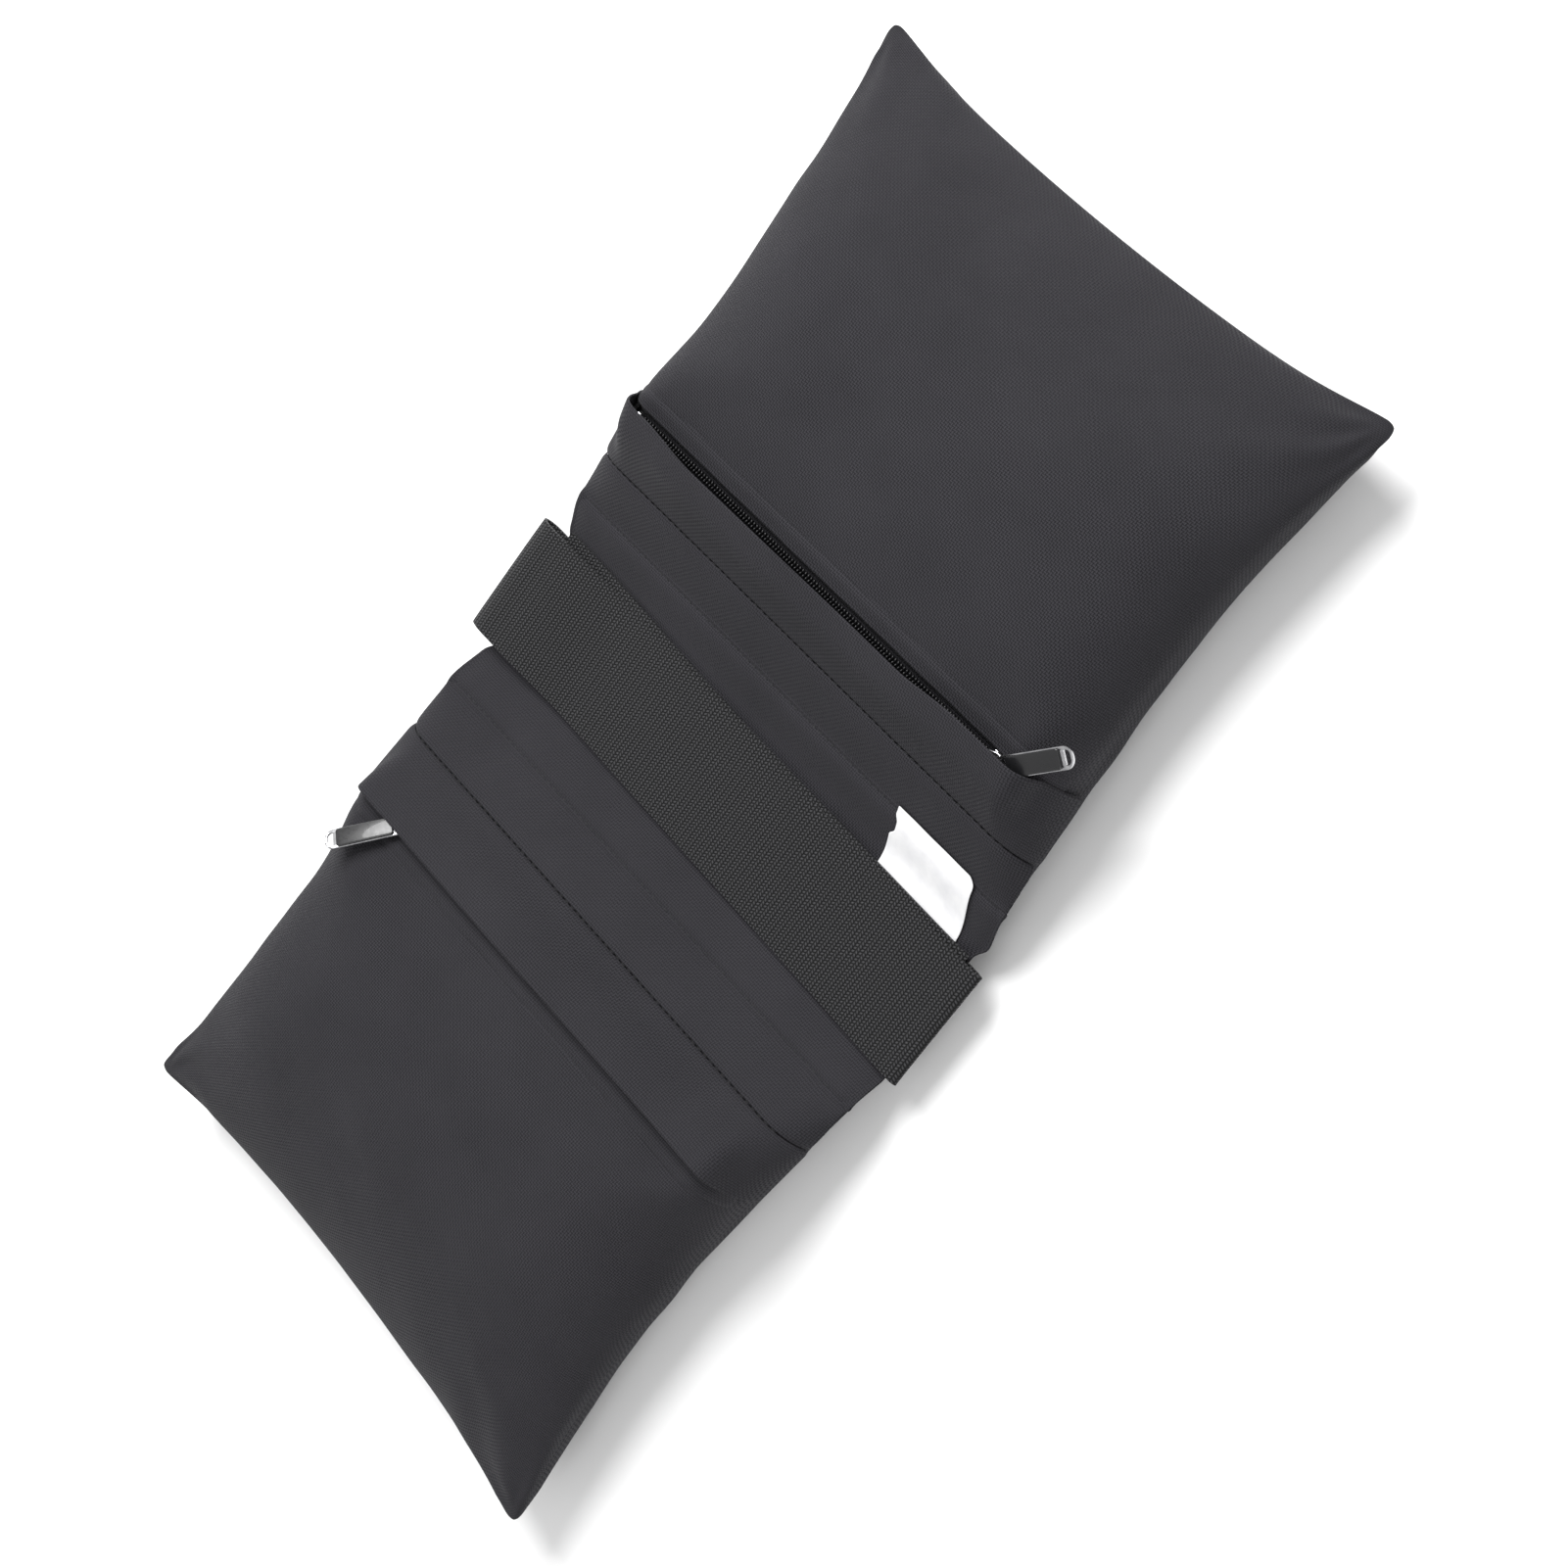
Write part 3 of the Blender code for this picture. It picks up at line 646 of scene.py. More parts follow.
def blowOut(piece):
    data = piece.data
    before = [v.co.copy() for v in data.vertices]
    flatCo = [None] * len(before)
    for loop in data.loops:
        u, v = data.uv_layers["weave"].data[loop.index].uv
        if u > bag["halfWidth"] * 1.05:
            u -= bag["halfWidth"] * 2.4
        flatCo[loop.vertex_index] = (u, v, 0.0)
    piece.shape_key_add(name="filled")
    cut = piece.shape_key_add(name="cut")
    for number, place in enumerate(flatCo):
        cut.data[number].co = place
    group = piece.vertex_groups.new(name="held")
    group.add(heldPoints(before, flatCo), 1.0, "REPLACE")
    cloth = piece.modifiers.new("blow", "CLOTH")
    settings = cloth.settings
    for setting, value in clothSettings.items():
        setattr(settings, setting, value)
    settings.vertex_group_mass = "held"
    settings.rest_shape_key = cut
    settings.use_pressure = True
    settings.uniform_pressure_force = pouchCloth["pressure"]
    settings.effector_weights.gravity = 0
    cloth.collision_settings.use_collision = False
    scene = bpy.context.scene
    for step in range(1, pouchCloth["frames"] + 1):
        scene.frame_set(step)
    shaped = piece.evaluated_get(bpy.context.evaluated_depsgraph_get())
    after = [v.co.copy() for v in shaped.data.vertices]
    piece.modifiers.remove(cloth)
    piece.shape_key_clear()
    piece.vertex_groups.clear()
    scene.frame_set(1)
    most = pouchCloth["mostMove"]
    for vert, old, new in zip(data.vertices, before, after):
        move = new - old
        if move.length > most:
            move *= most / move.length
        vert.co = old + move
        vert.co.z = max(vert.co.z, pouchCloth["floorGap"])


def softenSurface(piece, seed):
    mesh = bmesh.new()
    mesh.from_mesh(piece.data)
    mesh.normal_update()
    weave = mesh.loops.layers.uv.active
    creases = mesh.edges.layers.float.new("crease_edge")
    onRim = set()
    for edge in mesh.edges:
        sides = {face.loops[0][weave].uv.x > bag["halfWidth"] * 1.05 for face in edge.link_faces}
        if len(sides) == 2:
            edge[creases] = 1.0
            onRim.update(edge.verts)
    for vert in mesh.verts:
        place = vert.co.copy()
        free = smooth((place.y - bag["flapEdgeY"]) / 0.02)
        fromSeam = bag["halfWidth"] if vert in onRim else min(
            abs(halfWidth(place.y) - abs(place.x)) + abs(place.z - seamHeight(place.y)) * 0.6, 1.0
        )
        if vert in onRim:
            bySide = math.exp(-(((halfWidth(place.y) - abs(place.x)) / pouchCloth["rimFade"]) ** 2))
            byEnd = math.exp(-(((endOf(place.x) - place.y) / pouchCloth["rimFade"]) ** 2))
            inward = Vector((-math.copysign(bySide, place.x), -byEnd, 0))
            vert.co += inward * pouchCloth["seamNip"] * smooth((place.y - bag["seamY"]) / 0.01)
            continue
        if place.z < 0.001:
            continue
        lump = undulate(place, pouchCloth["lumpSize"], pouchCloth["lump"], seed)
        lump += undulate(place, pouchCloth["fineSize"], pouchCloth["fineLump"], seed + 5)
        tip = Vector((math.copysign(bag["halfWidth"], place.x), bag["tipY"], place.z))
        toTip = place - tip
        angle = math.atan2(toTip.y, -abs(toTip.x))
        reach = math.exp(-((toTip.length / pouchCloth["rayReach"]) ** 2)) * smooth(toTip.length / 0.012)
        wobble = 4 * noise.noise(toTip * 30)
        ray = math.sin(angle * pouchCloth["rays"] + seed + wobble) * pouchCloth["ray"] * reach
        along = place.y if abs(place.x) / halfWidth(place.y) > (place.y - bag["seamY"]) / 0.2 else place.x
        wave = noise.noise(Vector((along / pouchCloth["puckerLength"], seed, 0.3)))
        near = math.exp(-((fromSeam / pouchCloth["puckerReach"]) ** 2))
        vert.co += vert.normal * ((lump + ray) * free + wave * pouchCloth["pucker"] * near)
    mesh.to_mesh(piece.data)
    mesh.free()


def makePouch(tag, seed):
    piece = asPiece("pouchSkin_" + tag, pouchPillow(), "cloth")
    blowOut(piece)
    softenSurface(piece, seed)
    piece.data.transform(turns[tag])
    finer = piece.modifiers.new("finer", "SUBSURF")
    finer.levels = 1
    finer.render_levels = 1
    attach(piece, "pouch_" + tag)
    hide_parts("front_panel_" + tag, "back_panel_" + tag, "inner_panel_" + tag)


for tag, seed in (("a", 3.1), ("b", 9.4)):
    makePouch(tag, seed)
print("pouches made")


# Hems of the turned edges beside the zip, and the tapes under them

hem = {
    "thick": 0.0009,
    "width": 0.0085,
    "gap": 0.0042,
    "lift": 0.0004,
    "curl": 0.0003,  # of the fold beside the zip
    "sink": 0.0012,  # of the far edge, into the pouch's cloth
    "wave": 0.0003,
}
tape = {"thick": 0.0006, "width": 0.0078, "gap": 0.0023, "drop": 0.0012, "reach": 0.975}


def liftedPoint(x, y, lift):
    return topPoint(x, y) + outward(topPoint, x, y) * lift


def straightStrip(name, nearY, farY, lift, look, thick, tag, columns=90, rows=6, reach=0.985):
    def place(u, v):
        y = nearY + (farY - nearY) * v
        x = spreadShare(u) * halfWidth(y) * reach
        return liftedPoint(x, y, lift(x, v))

    def flat(u, v):
        return (u * bag["halfWidth"], nearY + (farY - nearY) * v)

    mesh = clothGrid(columns, rows, place, flat)
    piece = asPiece(name + "_" + tag, mesh, look, turns[tag])
    thicken(piece, thick, -1.0, 1)
    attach(piece, "pouch_" + tag)
    return piece


def makeZipCloth(tag, seed):
    for name, sign in (("innerTape", -1), ("outerTape", 1)):
        near = bag["zipY"] + sign * tape["gap"]
        far = near + sign * tape["width"]
        node = "inner_zip_tape_" if sign < 0 else "outer_zip_tape_"
        piece = straightStrip(
            name, min(near, far), max(near, far), lambda x, v: -tape["drop"],
            "zip_tape", tape["thick"], tag, reach=tape["reach"]
        )
        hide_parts(node + tag)
    for name, sign in (("innerHem", -1), ("outerHem", 1)):
        near = bag["zipY"] + sign * hem["gap"]
        far = near + sign * hem["width"]

        def lift(x, v, sign=sign):
            fromFold = v if sign > 0 else 1 - v
            sink = hem["sink"] * smooth((fromFold - 0.55) / 0.45)
            curl = hem["curl"] * math.cos(min(fromFold * 9, 1.57))
            return hem["lift"] + curl - sink + undulate(Vector((x, sign, 0)), 0.02, hem["wave"], seed)

        straightStrip(name, min(near, far), max(near, far), lift, "cloth", hem["thick"], tag, rows=10)


for tag, seed in (("a", 1.7), ("b", 6.2)):
    makeZipCloth(tag, seed)
print("zip cloth made")


# Storm flaps: a doubled cloth from the stitch line out over the zip

flap = {
    "rootY": bag["flapSeamY"],
    "thick": 0.0012,
    "room": {"a": 0.0065, "b": 0.0053},
    "rise": 0.020,
    "levelEnd": bag["zipHalf"] + 0.0005,
    "levelFade": 0.0085,
    "lift": 0.0015,  # of the upper face over the pouch, where the flap is sewn down
    "groove": 0.0009,
    "grooveWide": 0.0012,
    "wave": {"a": 0.0006, "b": 0.0004},
}


def seamGroove(y, line):
    return flap["groove"] * math.exp(-(((y - line) / flap["grooveWide"]) ** 2))


def flapLift(x, y, tag):
    openPart = smooth((y - bag["flapSeamY"]) / flap["rise"])
    levelPart = 1 - smooth((abs(x) - flap["levelEnd"]) / flap["levelFade"])
    wave = undulate(Vector((x, 0, 0)), 0.05, flap["wave"][tag], 2.0 if tag == "a" else 7.0)
    rise = (flap["room"][tag] + wave) * openPart * levelPart
    return flap["lift"] + rise - seamGroove(y, bag["flapSeamY"])


def makeFlap(tag):
    rootY, edgeY = flap["rootY"], bag["flapEdgeY"]

    def place(u, v):
        y = rootY + (edgeY - rootY) * v
        x = spreadShare(u) * halfWidth(y)
        lift = flapLift(x, y, tag)
        ends = smooth((abs(x + 0.010) - 0.055) / 0.030) if tag == "a" else 0.5
        y += (0.0024 * ends - 0.0012 + undulate(Vector((x, 9, 0)), 0.07, 0.0008, 4.0)) * v
        return liftedPoint(x, y, lift)

    def flat(u, v):
        return (u * bag["halfWidth"] + 0.3, rootY + (edgeY - rootY) * v)

    piece = asPiece("stormFlapCloth_" + tag, clothGrid(110, 22, place, flat), "cloth", turns[tag])
    thicken(piece, flap["thick"], -1.0, 1)
    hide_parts("storm_flap_" + tag)
    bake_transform(piece)


for tag in ("a", "b"):
    makeFlap(tag)
print("storm flaps made")


# The saddle: a flat sleeve of two cloths under the webbing, running on over each pouch to the flap's stitches

saddle = {
    "columns": 70,
    "thick": 0.0021,  # of the sleeve; "skin" is one of its cloths
    "skin": 0.0004,
    "coarseStep": 0.0019,
    "fineStep": 0.0004,  # across the sewn line
    "fineHalf": 0.0026,
    "topEnd": bag["flapSeamY"] - 0.0001,
    "baseEnd": bag["seamY"] + 0.010,
    "over": 0.0005,
    "stitchY": bag["seamY"] - 0.0012,
    "sag": 0.0005,
}


def saddleWidth(y):
    widened = smooth((y - bag["webHalf"] + 0.001) / 0.006)
    full = halfWidth(max(y, bag["seamY"])) + 0.0004
    return bag["saddleHalfWidth"] + (full - bag["saddleHalfWidth"]) * widened


def sleeveTop(x, y, edge):
    seen = max(y, bag["seamY"])
    inner = math.copysign(min(abs(x), halfWidth(seen) - 0.0002), x)
    flatZ = saddleHeight(y) - saddle["thick"] / 2 * (1 - edge)
    if y < bag["seamY"]:
        return Vector((x, y, flatZ - seamGroove(y, saddle["stitchY"])))
    over = saddle["over"] + (flap["lift"] - saddle["over"]) * smooth((y - bag["seamY"]) / 0.016)
    lift = over - seamGroove(y, bag["flapSeamY"]) - 0.6 * seamGroove(y, saddle["stitchY"])
    point = liftedPoint(inner, seen, lift)
    tall = flatZ - point.z
    if tall > 0:
        point.z += tall * (1 - smooth((y - bag["seamY"]) / 0.006))
    return point


def sleeveRows(endY):
    rows = []
    y = 0.0
    while y < endY - saddle["coarseStep"] / 2:
        rows.append(y)
        close = abs(y - saddle["stitchY"]) < saddle["fineHalf"] or endY - y < saddle["fineHalf"]
        y += saddle["fineStep"] if close else saddle["coarseStep"]
    return rows + [endY]


def saddlePlace(side, seed, rows):
    def place(u, v):
        y = rows[round(v * (len(rows) - 1))]
        x = spreadShare(u, 0.05) * saddleWidth(y)
        edge = 1 - smooth((abs(u) - 0.93) / 0.07)
        if side > 0:
            free = smooth((y - bag["webHalf"]) / 0.004) * (1 - smooth((y - 0.041) / 0.004))
            point = sleeveTop(x, y, edge)
            point.z += undulate(Vector((x, y, 0)), 0.03, saddle["sag"], seed) * free
            return point
        onPouch = smooth((y - bag["seamY"] + 0.0015) / 0.0045)
        inner = math.copysign(min(abs(x), halfWidth(max(y, bag["seamY"])) - 0.0002), x)
        mid = saddleHeight(y) - saddle["thick"] / 2
        flatZ = mid - saddle["thick"] / 2 * edge
        ended = smooth((y - saddle["baseEnd"] + 0.003) / 0.003)
        pouchZ = baseHeight(inner, max(y, bag["seamY"])) - saddle["over"] * (1 - 2 * ended)
        wave = undulate(Vector((x, y, 4)), 0.03, saddle["sag"], seed) * edge
        if abs(u) > 0.9999:
            pouchZ = seamHeight(max(y, bag["seamY"]))
        return Vector((x, y, flatZ + (pouchZ - flatZ) * onPouch + wave))

    return place


def makeSaddle(tag, seed):
    whole = bmesh.new()
    for side in (1, -1):
        rows = sleeveRows(saddle["topEnd"] if side > 0 else saddle["baseEnd"])

        def flat(u, v, side=side, rows=rows):
            return (u * bag["halfWidth"] + (0 if side > 0 else 0.6), rows[round(v * (len(rows) - 1))])

        half = clothGrid(saddle["columns"], len(rows) - 1, saddlePlace(side, seed, rows), flat)
        if side < 0:
            bmesh.ops.reverse_faces(half, faces=half.faces)
        takeIn(whole, half)
    piece = asPiece("saddleCloth_" + tag, whole, "cloth", turns[tag])
    thicken(piece, saddle["skin"], -1.0, 1)
    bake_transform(piece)
    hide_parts("saddle_top", "saddle_back")


for tag, seed in (("a", 2.4), ("b", 8.8)):
    makeSaddle(tag, seed)
print("saddle made")


# Webbing: the length sewn to the saddle, and the handle loop turning back over it at both sides

webbing = {
    "thick": 0.0013,
    "gap": 0.0003,
    "skew": 0.0034,  # of the sewn length, out from under the loop at one end
    "lean": 0.0024,  # of the loop, from end to end
    "belly": {"left": 0.0024, "right": 0.0014},
    "reach": {"left": 0.0038, "right": 0.0},  # of the turned end, past the plain one
    "rise": {"left": 0.0040, "right": 0.0008},  # of the handle where it turns
    "columns": 26,
}


# A band laid along a line of (x, z) points; sway(x) moves it across
def webSheet(name, line, flatStart, sway):
    lengths = [0.0]
    for one, two in zip(line, line[1:]):
        lengths.append(lengths[-1] + (two - one).length)
    count = len(line) - 1

    def place(u, v):
        point = line[round(v * count)]
        y = u * bag["webHalf"]
        droop = 0.00025 * abs(u) ** 6
        return Vector((point.x, y + sway(point.x), point.y - droop))

    def flat(u, v):
        return (flatStart + lengths[round(v * count)], u * bag["webHalf"])

    mesh = clothGrid(webbing["columns"], count, place, flat)
    return asPiece(name, mesh, "webbing"), lengths[-1]


def makeBaseWebbing():
    z = webHigh.z
    line = [Vector((webLow.x + (webHigh.x - webLow.x) * i / 60, z)) for i in range(61)]

    def sway(x):
        return webbing["skew"] * smooth(-x / 0.12) - webbing["lean"] * x / 0.24

    piece, length = webSheet("sewnWebbing", line, 0.4, sway)
    thicken(piece, webbing["thick"], -1.0, 1, crisp=True)
    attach(piece, "saddle")
    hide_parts("base_webbing")


def bightLine(side, end):
    low = webLow.z + webbing["thick"] / 2
    flatHigh = gripLow.z + webbing["thick"] / 2
    high = flatHigh + webbing["rise"][end]
    start = webHigh.x + webbing["gap"]
    reach = (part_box("bight_right")[1].x + webbing["reach"][end] - webbing["thick"] / 2 - start) / 0.75
    belly = webbing["belly"][end]
    points = []
    for i in range(19):
        t = i / 18
        s = 1 - t
        x = start * s**3 + (start + reach) * 3 * s * s * t + (start + reach) * 3 * s * t * t + start * t**3
        z = low * s**3 + (low - belly) * 3 * s * s * t + (high + belly) * 3 * s * t * t + high * t**3
        points.append(Vector((x, z)))
    count = 56
    for i in range(1, count + 1):
        x = start * (1 - i / count)
        points.append(Vector((x, flatHigh + (high - flatHigh) * smooth(1 - (start - x) / 0.045))))
    return [Vector((side * p.x, p.y)) for p in points]


def makeHandle(side):
    end = "right" if side > 0 else "left"
    name = "handleStrap_" + end
    line = bightLine(side, end)[::-1]
    piece, length = webSheet(name, line, 0.0, lambda x: -webbing["lean"] * (0.4 + x / 0.12))
    if side > 0:
        for corner in piece.data.uv_layers["weave"].data:
            corner.uv.x = -corner.uv.x
    mesh = bmesh.new()
    mesh.from_mesh(piece.data)
    bmesh.ops.recalc_face_normals(mesh, faces=mesh.faces)
    if sum(face.normal.z for face in mesh.faces if abs(face.calc_center_median().x) < 0.05) < 0:
        bmesh.ops.reverse_faces(mesh, faces=mesh.faces)
    for vert in mesh.verts:
        vert.co.z += undulate(vert.co, 0.05, 0.0004, 3.0) * smooth(1 - abs(vert.co.x) / 0.11)
    mesh.to_mesh(piece.data)
    mesh.free()
    thicken(piece, webbing["thick"], 0.0, 1, crisp=True)
    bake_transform(piece)
    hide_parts("handle_grip", "handle_leg_" + end, "bight_" + end)


makeBaseWebbing()
for side in (-1, 1):
    makeHandle(side)
print("webbing made")


# The blank label

labelLow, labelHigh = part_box("label")
label = {
    "thick": 0.0004,
    "under": 0.0024,  # hidden under the handle's edge
    "over": 0.0018,  # past the cross seam
    "notch": 0.0022,
    "notchLow": 0.62,
    "notchHigh": 0.80,
    "corner": 0.005,
    "slant": 0.004,
}


def makeLabel():
    nearY = labelLow.y - label["under"]
    farY = labelHigh.y + label["over"]
    width, length = labelHigh.x - labelLow.x, farY - nearY

    def place(u, v):
        inset = smooth((v - label["notchLow"] + 0.07) / 0.07) * (1 - smooth((v - label["notchHigh"]) / 0.05))
        left = labelLow.x + label["slant"] * (0.5 - v) * 0.5 + label["notch"] * inset
        fromEnd = length * (1 - v)
        cut = 0.0
        if fromEnd < label["corner"]:
            cut = label["corner"] - math.sqrt(
                max(label["corner"] ** 2 - (label["corner"] - fromEnd) ** 2, 0)
            )
        right = labelHigh.x + label["slant"] * (0.5 - v) - 0.6 * cut
        x = left + (right - left) * (u + 1) / 2
        y = nearY + length * v
        wave = undulate(Vector((x, y, 0)), 0.012, 0.0006, 1.0) * v
        lift = 0.0008 + 0.0008 * smooth((v - 0.3) / 0.7)
        surface = sleeveTop(x, y, 1).z if y > bag["webHalf"] else saddleHeight(y)
        return Vector((x, y, max(surface, saddleHeight(y) - 0.0006) + lift + wave))

    def flat(u, v):
        return (u * width / 2, v * length)

    piece = asPiece("labelTag", clothGrid(44, 22, place, flat), "label")
    thicken(piece, label["thick"], -1.0, 1)
    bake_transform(piece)
    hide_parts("label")


makeLabel()
print("label made")


# Zip: meshed coils, slider and pull, all laid out on the zip's own frame

zipUp = Vector(joints["pull_swing_a"]["axis"]).normalized()


# +X along the zip and +Z out of the cloth, on the slider or, with onSlider false, at the zip's middle
def zipPlace(tag, onSlider=True):
    across = Vector((1, 0, 0))
    turned = Matrix((across, zipUp.cross(across), zipUp)).transposed().to_4x4()
    place = turns[tag].inverted() @ Vector(joints["pull_swing_" + tag]["pos_m"])
    if not onSlider:
        place.x = 0.0
    return turns[tag] @ Matrix.Translation(place) @ turned


coil = {"pitch": 0.0015, "reach": 0.0024, "wide": 0.00085, "tall": 0.0017, "low": -0.00175, "aside": 0.00083}


def makeCoils(tag):
    mesh = bmesh.new()
    count = int(2 * bag["zipHalf"] / coil["pitch"]) - 1
    for side in (-1, 1):
        for i in range(count):
            x = -bag["zipHalf"] + coil["pitch"] * (i + 0.75 + (0.25 if side > 0 else -0.25))
            made = bmesh.ops.create_icosphere(mesh, subdivisions=1, radius=0.5)
            size = Matrix.Diagonal((coil["wide"], coil["reach"] * 1.08, coil["tall"], 1))
            lean = Matrix.Rotation(side * 0.10, 4, "Z")
            at = Matrix.Translation((x, side * coil["aside"], coil["low"] + coil["tall"] / 2))
            bmesh.ops.transform(mesh, matrix=at @ lean @ size, verts=made["verts"])
    piece = asPiece("zipCoils_" + tag, mesh, "zip_coil", zipPlace(tag, False))
    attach(piece, "pouch_" + tag)
    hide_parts("zip_chain_" + tag)


def outlinePrism(points, depth):
    mesh = bmesh.new()
    face = mesh.faces.new([mesh.verts.new((x, y, 0)) for x, y in points])
    grown = bmesh.ops.extrude_face_region(mesh, geom=[face])
    risen = [v for v in grown["geom"] if isinstance(v, bmesh.types.BMVert)]
    bmesh.ops.translate(mesh, verts=risen, vec=(0, 0, depth))
    bmesh.ops.recalc_face_normals(mesh, faces=mesh.faces)
    return mesh


def bevelAll(mesh, width, segments=2, angle=25):
    sharp = [e for e in mesh.edges if e.calc_face_angle(0) > math.radians(angle)]
    bmesh.ops.bevel(
        mesh, geom=sharp, offset=width, segments=segments, profile=0.5, affect="EDGES", material=-1
    )


def roundedOutline(lowX, highX, half, nearRadius, farRadius=None, steps=7):
    points = []
    corners = ((highX, half, 0), (lowX, half, 90), (lowX, -half, 180), (highX, -half, 270))
    for x, y, start in corners:
        radius = (farRadius or nearRadius) if x == highX else nearRadius
        middleX = x - math.copysign(radius, x - (lowX + highX) / 2)
        middleY = y - math.copysign(radius, y)
        for step in range(steps + 1):
            angle = math.radians(start + 90 * step / steps)
            points.append((middleX + radius * math.cos(angle), middleY + radius * math.sin(angle)))
    return points


slider = {
    "roof": [
        (-0.0060, -0.0030), (-0.0030, -0.0043), (0.0042, -0.0043), (0.0060, -0.0026),
        (0.0060, 0.0026), (0.0042, 0.0043), (-0.0030, 0.0043), (-0.0060, 0.0030),
    ],
    "roofThick": 0.0011,
    "roofLow": 0.00045,
    "skirt": [(-0.0046, 0.0024), (0.0050, 0.0024), (0.0050, 0.0042), (-0.0046, 0.0042)],
    "skirtTall": 0.0015,
    "skirtLow": -0.00085,
    "bridge": [  # seen from the side, feet first
        (-0.0028, 0), (-0.0020, 0), (-0.0019, 0.0014), (-0.0015, 0.0019), (0.0015, 0.0019), (0.0019, 0.0014),
        (0.0020, 0), (0.0028, 0), (0.0028, 0.0017), (0.0021, 0.0029), (-0.0021, 0.0029), (-0.0028, 0.0017),
    ],
    "bridgeWide": 0.0012,
    "bridgeLow": 0.00155,
}


def makeSlider(tag):
    place = zipPlace(tag)
    body = outlinePrism(slider["roof"], slider["roofThick"])
    bmesh.ops.translate(body, verts=body.verts, vec=(0, 0, slider["roofLow"]))
    bevelAll(body, 0.0003)
    for side in (-1, 1):
        skirt = outlinePrism(slider["skirt"], slider["skirtTall"])
        bevelAll(skirt, 0.00025)
        flip = Matrix.Diagonal((1, side, 1, 1))
        skirt.transform(Matrix.Translation((0, 0, slider["skirtLow"])) @ flip)
        bmesh.ops.recalc_face_normals(skirt, faces=skirt.faces)
        takeIn(body, skirt)
    piece = asPiece("sliderBody_" + tag, body, "nickel", place)
    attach(piece, "slider_" + tag)
    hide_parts("slider_body_" + tag)

    arch = outlinePrism(slider["bridge"], slider["bridgeWide"])
    bevelAll(arch, 0.0002, 1)
    stand = Matrix.Translation((0, slider["bridgeWide"] / 2, slider["bridgeLow"]))
    arch.transform(stand @ Matrix.Rotation(math.pi / 2, 4, "X"))
    bridge = asPiece("sliderBridge_" + tag, arch, "nickel", place)
    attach(bridge, "slider_" + tag)
    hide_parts("slider_bridge_" + tag)


pull = {
    "swing": {"a": math.radians(48), "b": math.radians(56)},
    "low": 0.00225,
    "thick": 0.0010,
    "length": 0.034,
    "half": 0.0040,
    "rim": 0.0011,
    "inlayStart": 0.0058,
    "inlayLength": 0.0232,
    "slot": 0.0024,
}


def cutHole(piece, cutter):
    data = bpy.data.meshes.new("cutter")
    cutter.to_mesh(data)
    cutter.free()
    tool = bpy.data.objects.new("cutter", data)
    bpy.context.scene.collection.objects.link(tool)
    cut = piece.modifiers.new("cut", "BOOLEAN")
    cut.operation = "DIFFERENCE"
    cut.solver = "EXACT"
    cut.object = tool
    settle(piece)
    bpy.data.objects.remove(tool)


def makePull(tag):
    place = zipPlace(tag) @ Matrix.Rotation(pull["swing"][tag], 4, "Z")
    plate = outlinePrism(roundedOutline(-0.0005, pull["length"], pull["half"], 0.0012, 0.0037), pull["thick"])
    bmesh.ops.translate(plate, verts=plate.verts, vec=(0, 0, pull["low"]))
    piece = asPiece("pullTab_" + tag, plate, "nickel")
    eye = outlinePrism(roundedOutline(0.0005, 0.0050, pull["half"] - pull["rim"], 0.0010), 0.01)
    slotEnd = pull["length"] - pull["rim"]
    slot = outlinePrism(roundedOutline(slotEnd - pull["slot"], slotEnd, 0.0026, 0.0005, 0.0017), 0.01)
    for hole in (eye, slot):
        bmesh.ops.translate(hole, verts=hole.verts, vec=(0, 0, -0.002))
        cutHole(piece, hole)
    mesh = bmesh.new()
    mesh.from_mesh(piece.data)
    bmesh.ops.dissolve_limit(mesh, angle_limit=math.radians(1), verts=mesh.verts, edges=mesh.edges)
    bevelAll(mesh, 0.00022, 2, 40)
    mesh.transform(place)
    mesh.to_mesh(piece.data)
    mesh.free()
    piece.data.shade_smooth()
    piece.data.set_sharp_from_angle(angle=math.radians(40))
    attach(piece, "pull_" + tag)
    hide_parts("pull_tab_" + tag)
    end = pull["inlayStart"] + pull["inlayLength"]
    inlay = outlinePrism(roundedOutline(pull["inlayStart"], end, pull["half"] - 0.0004, 0.0012), 0.0009)
    bevelAll(inlay, 0.0004, 3)
    bmesh.ops.translate(inlay, verts=inlay.verts, vec=(0, 0, pull["low"] + pull["thick"] + 0.0001))
    cover = asPiece("pullInlay_" + tag, inlay, "dark_enamel", place)
    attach(cover, "pull_" + tag)
    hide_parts("pull_inlay_" + tag)


for tag in ("a", "b"):
    makeCoils(tag)
    makeSlider(tag)
    makePull(tag)
print("zips made")


# Stitches: short threads pressed into the cloth along the sewn lines

stitch = {
    "length": 0.0026,
    "step": 0.0034,
    "wide": 0.00042,
    "tall": 0.00036,
    "lift": 0.00005,
    "reach": 0.1095,  # from the middle to the last stitch
}


def stitchLine(name, points, ups, body, tag):
    mesh = bmesh.new()
    for start, end, up in zip(points, points[1:], ups):
        along = (end - start).normalized()
        across = up.cross(along).normalized()
        turned = Matrix((along, across, along.cross(across))).transposed().to_4x4()
        made = bmesh.ops.create_icosphere(mesh, subdivisions=1, radius=0.5)
        size = Matrix.Diagonal((stitch["length"], stitch["wide"], stitch["tall"], 1))
        bmesh.ops.transform(
            mesh, matrix=Matrix.Translation((start + end) / 2) @ turned @ size, verts=made["verts"]
        )
    piece = asPiece(name + "_" + tag, mesh, "thread", turns[tag])
    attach(piece, body)


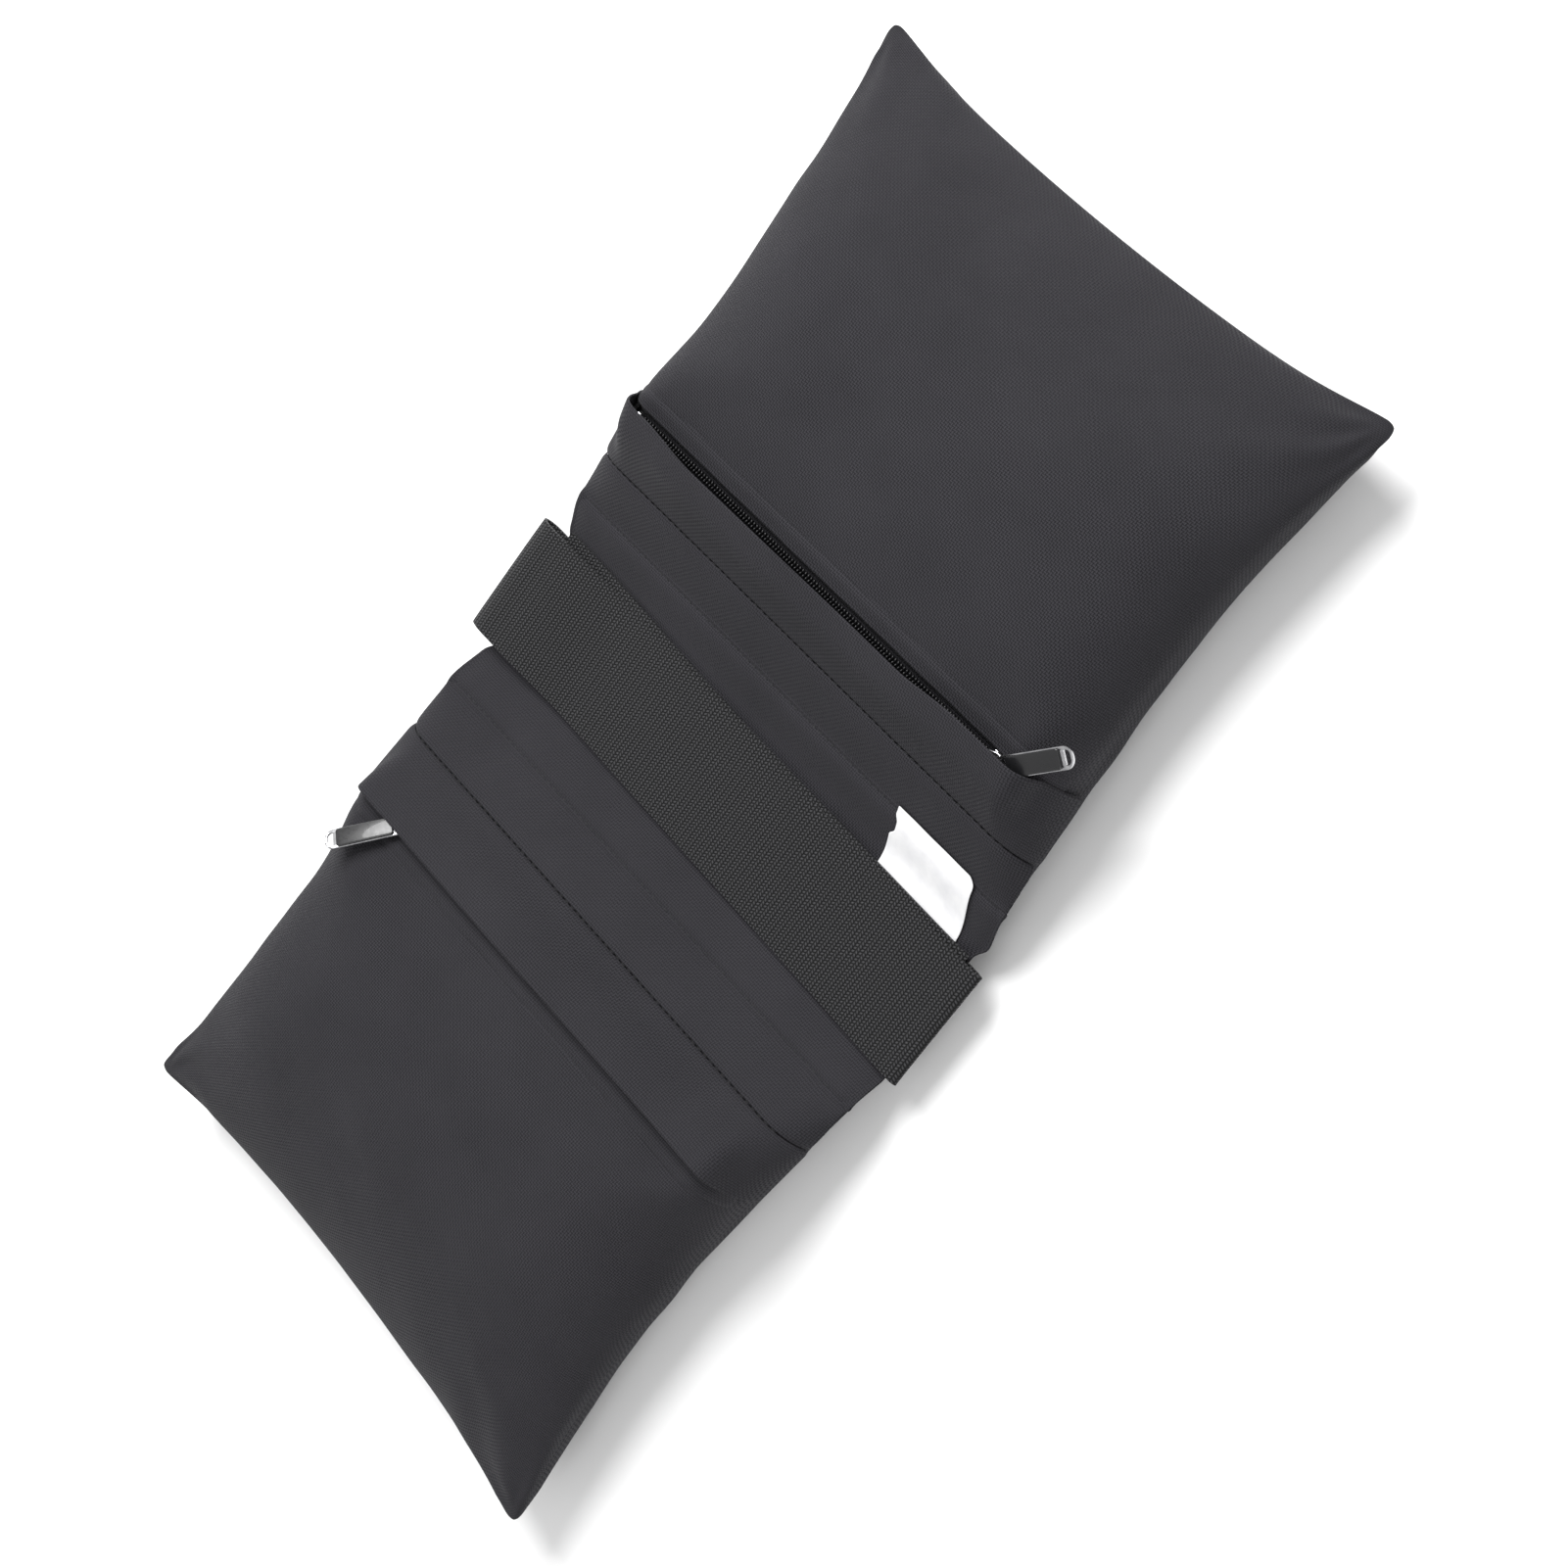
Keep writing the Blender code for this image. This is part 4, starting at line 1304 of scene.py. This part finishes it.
def makeStitches(tag):
    reach = stitch["reach"]
    count = int(2 * reach / stitch["step"])
    xs = [-reach + 2 * reach * i / count for i in range(count + 1)]
    y = bag["flapSeamY"]
    points = [liftedPoint(x, y, flapLift(x, y, tag) + stitch["lift"]) for x in xs]
    ups = [outward(topPoint, x, y) for x in xs]
    stitchLine("flapStitches", points, ups, "pouch_" + tag, tag)
    y = saddle["stitchY"]
    points = [sleeveTop(x, y, 1) + Vector((0, 0, stitch["lift"])) for x in xs]
    ups = [Vector((0, 0, 1)) for x in xs]
    stitchLine("seamStitches", points, ups, "saddle", tag)


for tag in ("a", "b"):
    makeStitches(tag)
print("stitches made")


# Floor, light and camera

studio = {
    "floor": (0.90, 0.90, 0.90),
    "world": (1.0, 1.0, 1.0),
    "worldStrength": 0.56,
    "lamps": (  # name, place, size in metres, power in watts
        ("key", (-0.8, 0.8, 1.3), 1.1, 43.0),
        ("fill", (0.9, -0.9, 1.3), 1.4, 10.0),
    ),
    "place": Vector((0.44176, 0.30242, 0.84555)),
    "aim": Vector((-0.43301, -0.29013, -0.85342)),
    "up": Vector((-0.64473, 0.76136, 0.06828)),
    "lens": 62.31,
}


def makeStudio():
    scene = bpy.context.scene
    mesh = bmesh.new()
    bmesh.ops.create_grid(mesh, x_segments=2, y_segments=2, size=4.0)
    data = bpy.data.meshes.new("floor")
    mesh.to_mesh(data)
    mesh.free()
    floor = bpy.data.objects.new("floor", data)
    scene.collection.objects.link(floor)
    paint, shader = newMaterial("paleFloor", studio["floor"], 0.9)
    data.materials.append(paint)
    floor.location = (0, 0, -0.0006)

    world = bpy.data.worlds.new("studio")
    world.use_nodes = True
    back = world.node_tree.nodes["Background"]
    back.inputs[0].default_value = (*studio["world"], 1)
    back.inputs[1].default_value = studio["worldStrength"]
    scene.world = world

    for name, place, size, power in studio["lamps"]:
        light = bpy.data.lights.new(name, "AREA")
        light.shape = "DISK"
        light.size = size
        light.energy = power
        lamp = bpy.data.objects.new(name, light)
        lamp.location = place
        lamp.rotation_mode = "QUATERNION"
        lamp.rotation_quaternion = Vector(place).to_track_quat("Z", "Y")
        scene.collection.objects.link(lamp)

    camera = bpy.data.cameras.new("camera")
    camera.lens = studio["lens"]
    camera.sensor_width = 36
    camera.clip_start = 0.05
    viewer = bpy.data.objects.new("camera", camera)
    right = studio["aim"].cross(studio["up"]).normalized()
    up = right.cross(studio["aim"]).normalized()
    viewer.matrix_world = Matrix.Translation(studio["place"]) @ Matrix(
        (right, up, -studio["aim"])
    ).transposed().to_4x4()
    scene.collection.objects.link(viewer)
    scene.camera = viewer


makeStudio()
bpy.context.scene.view_settings.view_transform = "Standard"
